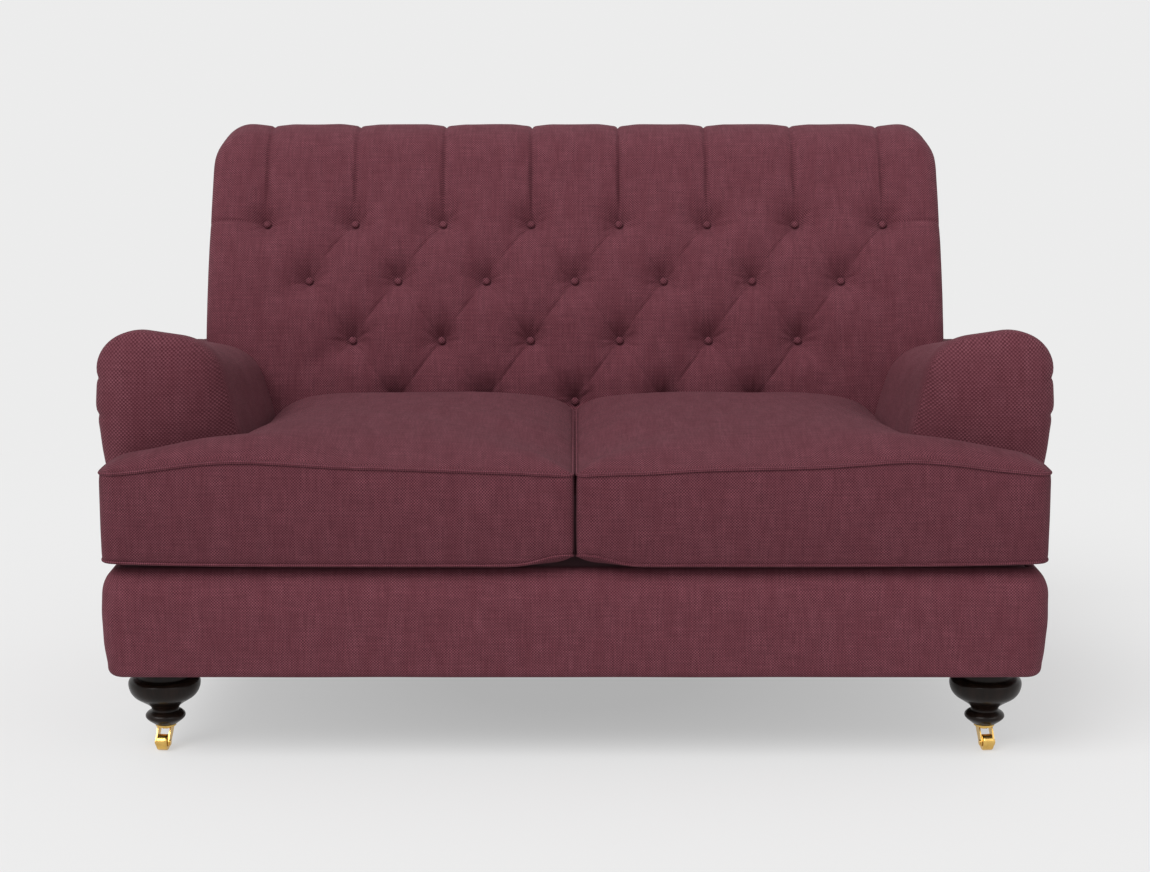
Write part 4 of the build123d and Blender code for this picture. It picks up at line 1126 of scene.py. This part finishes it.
keep = ~((np.abs(middle_x) > notch_x) & at_end)
used, numbers = np.unique(faces[keep], return_inverse=True)
dust_cover = new_object(
    "dust_cloth", points[used], numbers.reshape(-1, 4), corner_uv.reshape(-1, 4, 2)[keep]
)
finish_piece(dust_cover, dust_cloth, ["dust_cover"])

# Turned front legs: a bell that narrows to a neck, a ring and a tapered foot, as (radius, height)
LEG_SIDES = 72
LEG_SHARP = math.radians(40)
BORE = 0.0054
STEM_BORE_DEPTH = 0.0384
BOLT_BORE_DEPTH = 0.040
SHOULDER, SHOULDER_LOW = 0.042, 0.1148
leg_low, leg_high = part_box("right_front_leg")[0].z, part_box("right_front_leg")[1].z
foot_line = ((0.0165, leg_low), (0.0215, 0.0412), (0.0268, 0.0452), (0.0300, 0.0486))
foot_line += ((0.0309, 0.0515), (0.0298, 0.0548), (0.0262, 0.0580), (0.0216, 0.0600))
bell_line = ((0.0212, 0.0602), (0.0212, 0.0632), (0.0236, 0.0676), (0.0300, 0.0728))
bell_line += ((0.0390, 0.0784), (0.0468, 0.0838), (0.0520, 0.0902), (0.0548, 0.0972))
bell_line += ((0.0558, 0.1040), (0.0546, 0.1094), (0.0504, 0.1132), (0.0438, 0.1146))


def curve_through(points, parts=6):
    """Smooth line through points, with so many parts between each two."""
    p = np.asarray(points, float)
    p = np.concatenate([[2 * p[0] - p[1]], p, [2 * p[-1] - p[-2]]])
    t = np.linspace(0, 1, parts, endpoint=False)[:, None]
    pieces = []
    for a, b, c, d in zip(p, p[1:], p[2:], p[3:]):
        square, cube = 2 * a - 5 * b + 4 * c - d, 3 * b - a - 3 * c + d
        pieces.append(b + (c - a) * t / 2 + square * t**2 / 2 + cube * t**3 / 2)
    return np.concatenate(pieces + [p[-2:-1]])


leg_line = np.concatenate(
    [
        [(BORE, leg_low + STEM_BORE_DEPTH), (BORE, leg_low)],
        curve_through(foot_line),
        curve_through(bell_line),
        [(SHOULDER, SHOULDER_LOW), (SHOULDER, leg_high)],
        [(BORE, leg_high), (BORE, leg_high - BOLT_BORE_DEPTH)],
    ]
)
turn = np.linspace(0, 2 * math.pi, LEG_SIDES, endpoint=False)
leg_radius, leg_z = leg_line[:, :1], leg_line[:, 1:]
for word, side in (("left", -1), ("right", 1)):
    leg_x = side * LEG_X + leg_radius * np.cos(turn)
    leg_rings = stacked(leg_x, LEG_Y + leg_radius * np.sin(turn), leg_z)
    points, faces, _ = lattice(leg_rings, np.zeros((len(leg_line), LEG_SIDES + 1, 2)))
    leg = new_object(f"{word}_turned_leg", points, faces)
    leg.data.set_sharp_from_angle(angle=LEG_SHARP)
    finish_piece(leg, espresso, [f"{word}_front_leg"])


# Floor and backdrop: both show the backdrop's own colour, and light the sofa with another
@material_of
def paint(tree, colour):
    return {"Base Color": colour, "Roughness": 0.9, "Specular IOR Level": 0.1}


def seen_rays(tree):
    """1 for rays that show what they meet, 0 for those that gather light."""
    path = node(tree, "ShaderNodeLightPath", {})
    rays = math_node(tree, "MAXIMUM", path.outputs["Is Camera Ray"], path.outputs["Is Glossy Ray"])
    return math_node(tree, "MAXIMUM", rays, path.outputs["Is Transmission Ray"])


def blend_surface(tree, output, share, first, second):
    """Join an output to the mix of two shaders."""
    mixed = {0: share, 1: first.outputs[0], 2: second.outputs[0]}
    blend = node(tree, "ShaderNodeMixShader", mixed)
    fill_inputs(tree, tree.nodes[output], {"Surface": blend.outputs[0]})


scene = bpy.context.scene
BACKDROP = (0.84, 0.84, 0.84, 1)
FLOOR_COLOUR = (0.76, 0.76, 0.76, 1)
FLOOR_HALF = 14.0
AMBIENT = 0.60
floor_corners = [(x * FLOOR_HALF, y * FLOOR_HALF, 0) for x, y in corners]
floor = new_object("floor", floor_corners, [[0, 1, 2, 3]])
floor_paint = paint("floor_paint", colour=FLOOR_COLOUR)
floor.data.materials.append(floor_paint)
tree = floor_paint.node_tree
distance = node(tree, "ShaderNodeVectorMath", {0: object_place(tree)}, operation="LENGTH")
fade = spread(tree, distance.outputs["Value"], low=0.2, high=2.6)
fade = math_node(tree, "MULTIPLY_ADD", fade, 0.55, 0.45)
shown = math_node(tree, "MULTIPLY", fade, seen_rays(tree))
glow = node(tree, "ShaderNodeEmission", {"Color": BACKDROP, "Strength": 1.0})
blend_surface(tree, "Material Output", shown, tree.nodes["Principled BSDF"], glow)

world = bpy.data.worlds.new("studio")
scene.world = world
world.use_nodes = True
tree = world.node_tree
ambient = tree.nodes["Background"]
fill_inputs(tree, ambient, {"Color": (1.0, 1.0, 1.0, 1), "Strength": AMBIENT})
backdrop = node(tree, "ShaderNodeBackground", {"Color": BACKDROP, "Strength": 1.0})
blend_surface(tree, "World Output", seen_rays(tree), ambient, backdrop)

# Key from the left, and a weak fill from the right that casts no shadow
LIGHT_SPREAD = math.radians(40)
for name, energy, shadow, way in (
    ("key", 1.98, True, (0.46, 0.46, -0.76)),
    ("fill", 0.46, False, (-0.60, 0.50, -0.62)),
):
    light = bpy.data.lights.new(name, "SUN")
    light.energy = energy
    light.angle = LIGHT_SPREAD
    light.use_shadow = shadow
    lamp = bpy.data.objects.new(name, light)
    lamp.rotation_euler = Vector(way).to_track_quat("-Z", "Y").to_euler()
    scene.collection.objects.link(lamp)

# Camera, for an image of 1150 by 872
SENSOR = 36
IMAGE_WIDTH, FOCAL_PIXELS = 1150, 2227
CAMERA_DISTANCE, CAMERA_HEIGHT = 3.264, 1.085
CAMERA_TILT = math.radians(80)
camera_data = bpy.data.cameras.new("camera")
camera_data.sensor_width = SENSOR
camera_data.lens = SENSOR * FOCAL_PIXELS / IMAGE_WIDTH
camera = bpy.data.objects.new("camera", camera_data)
camera.location = (0.0, FRONT - CAMERA_DISTANCE, CAMERA_HEIGHT)
camera.rotation_euler = (CAMERA_TILT, 0, 0)
scene.collection.objects.link(camera)
scene.camera = camera
scene.view_settings.view_transform = "Standard"
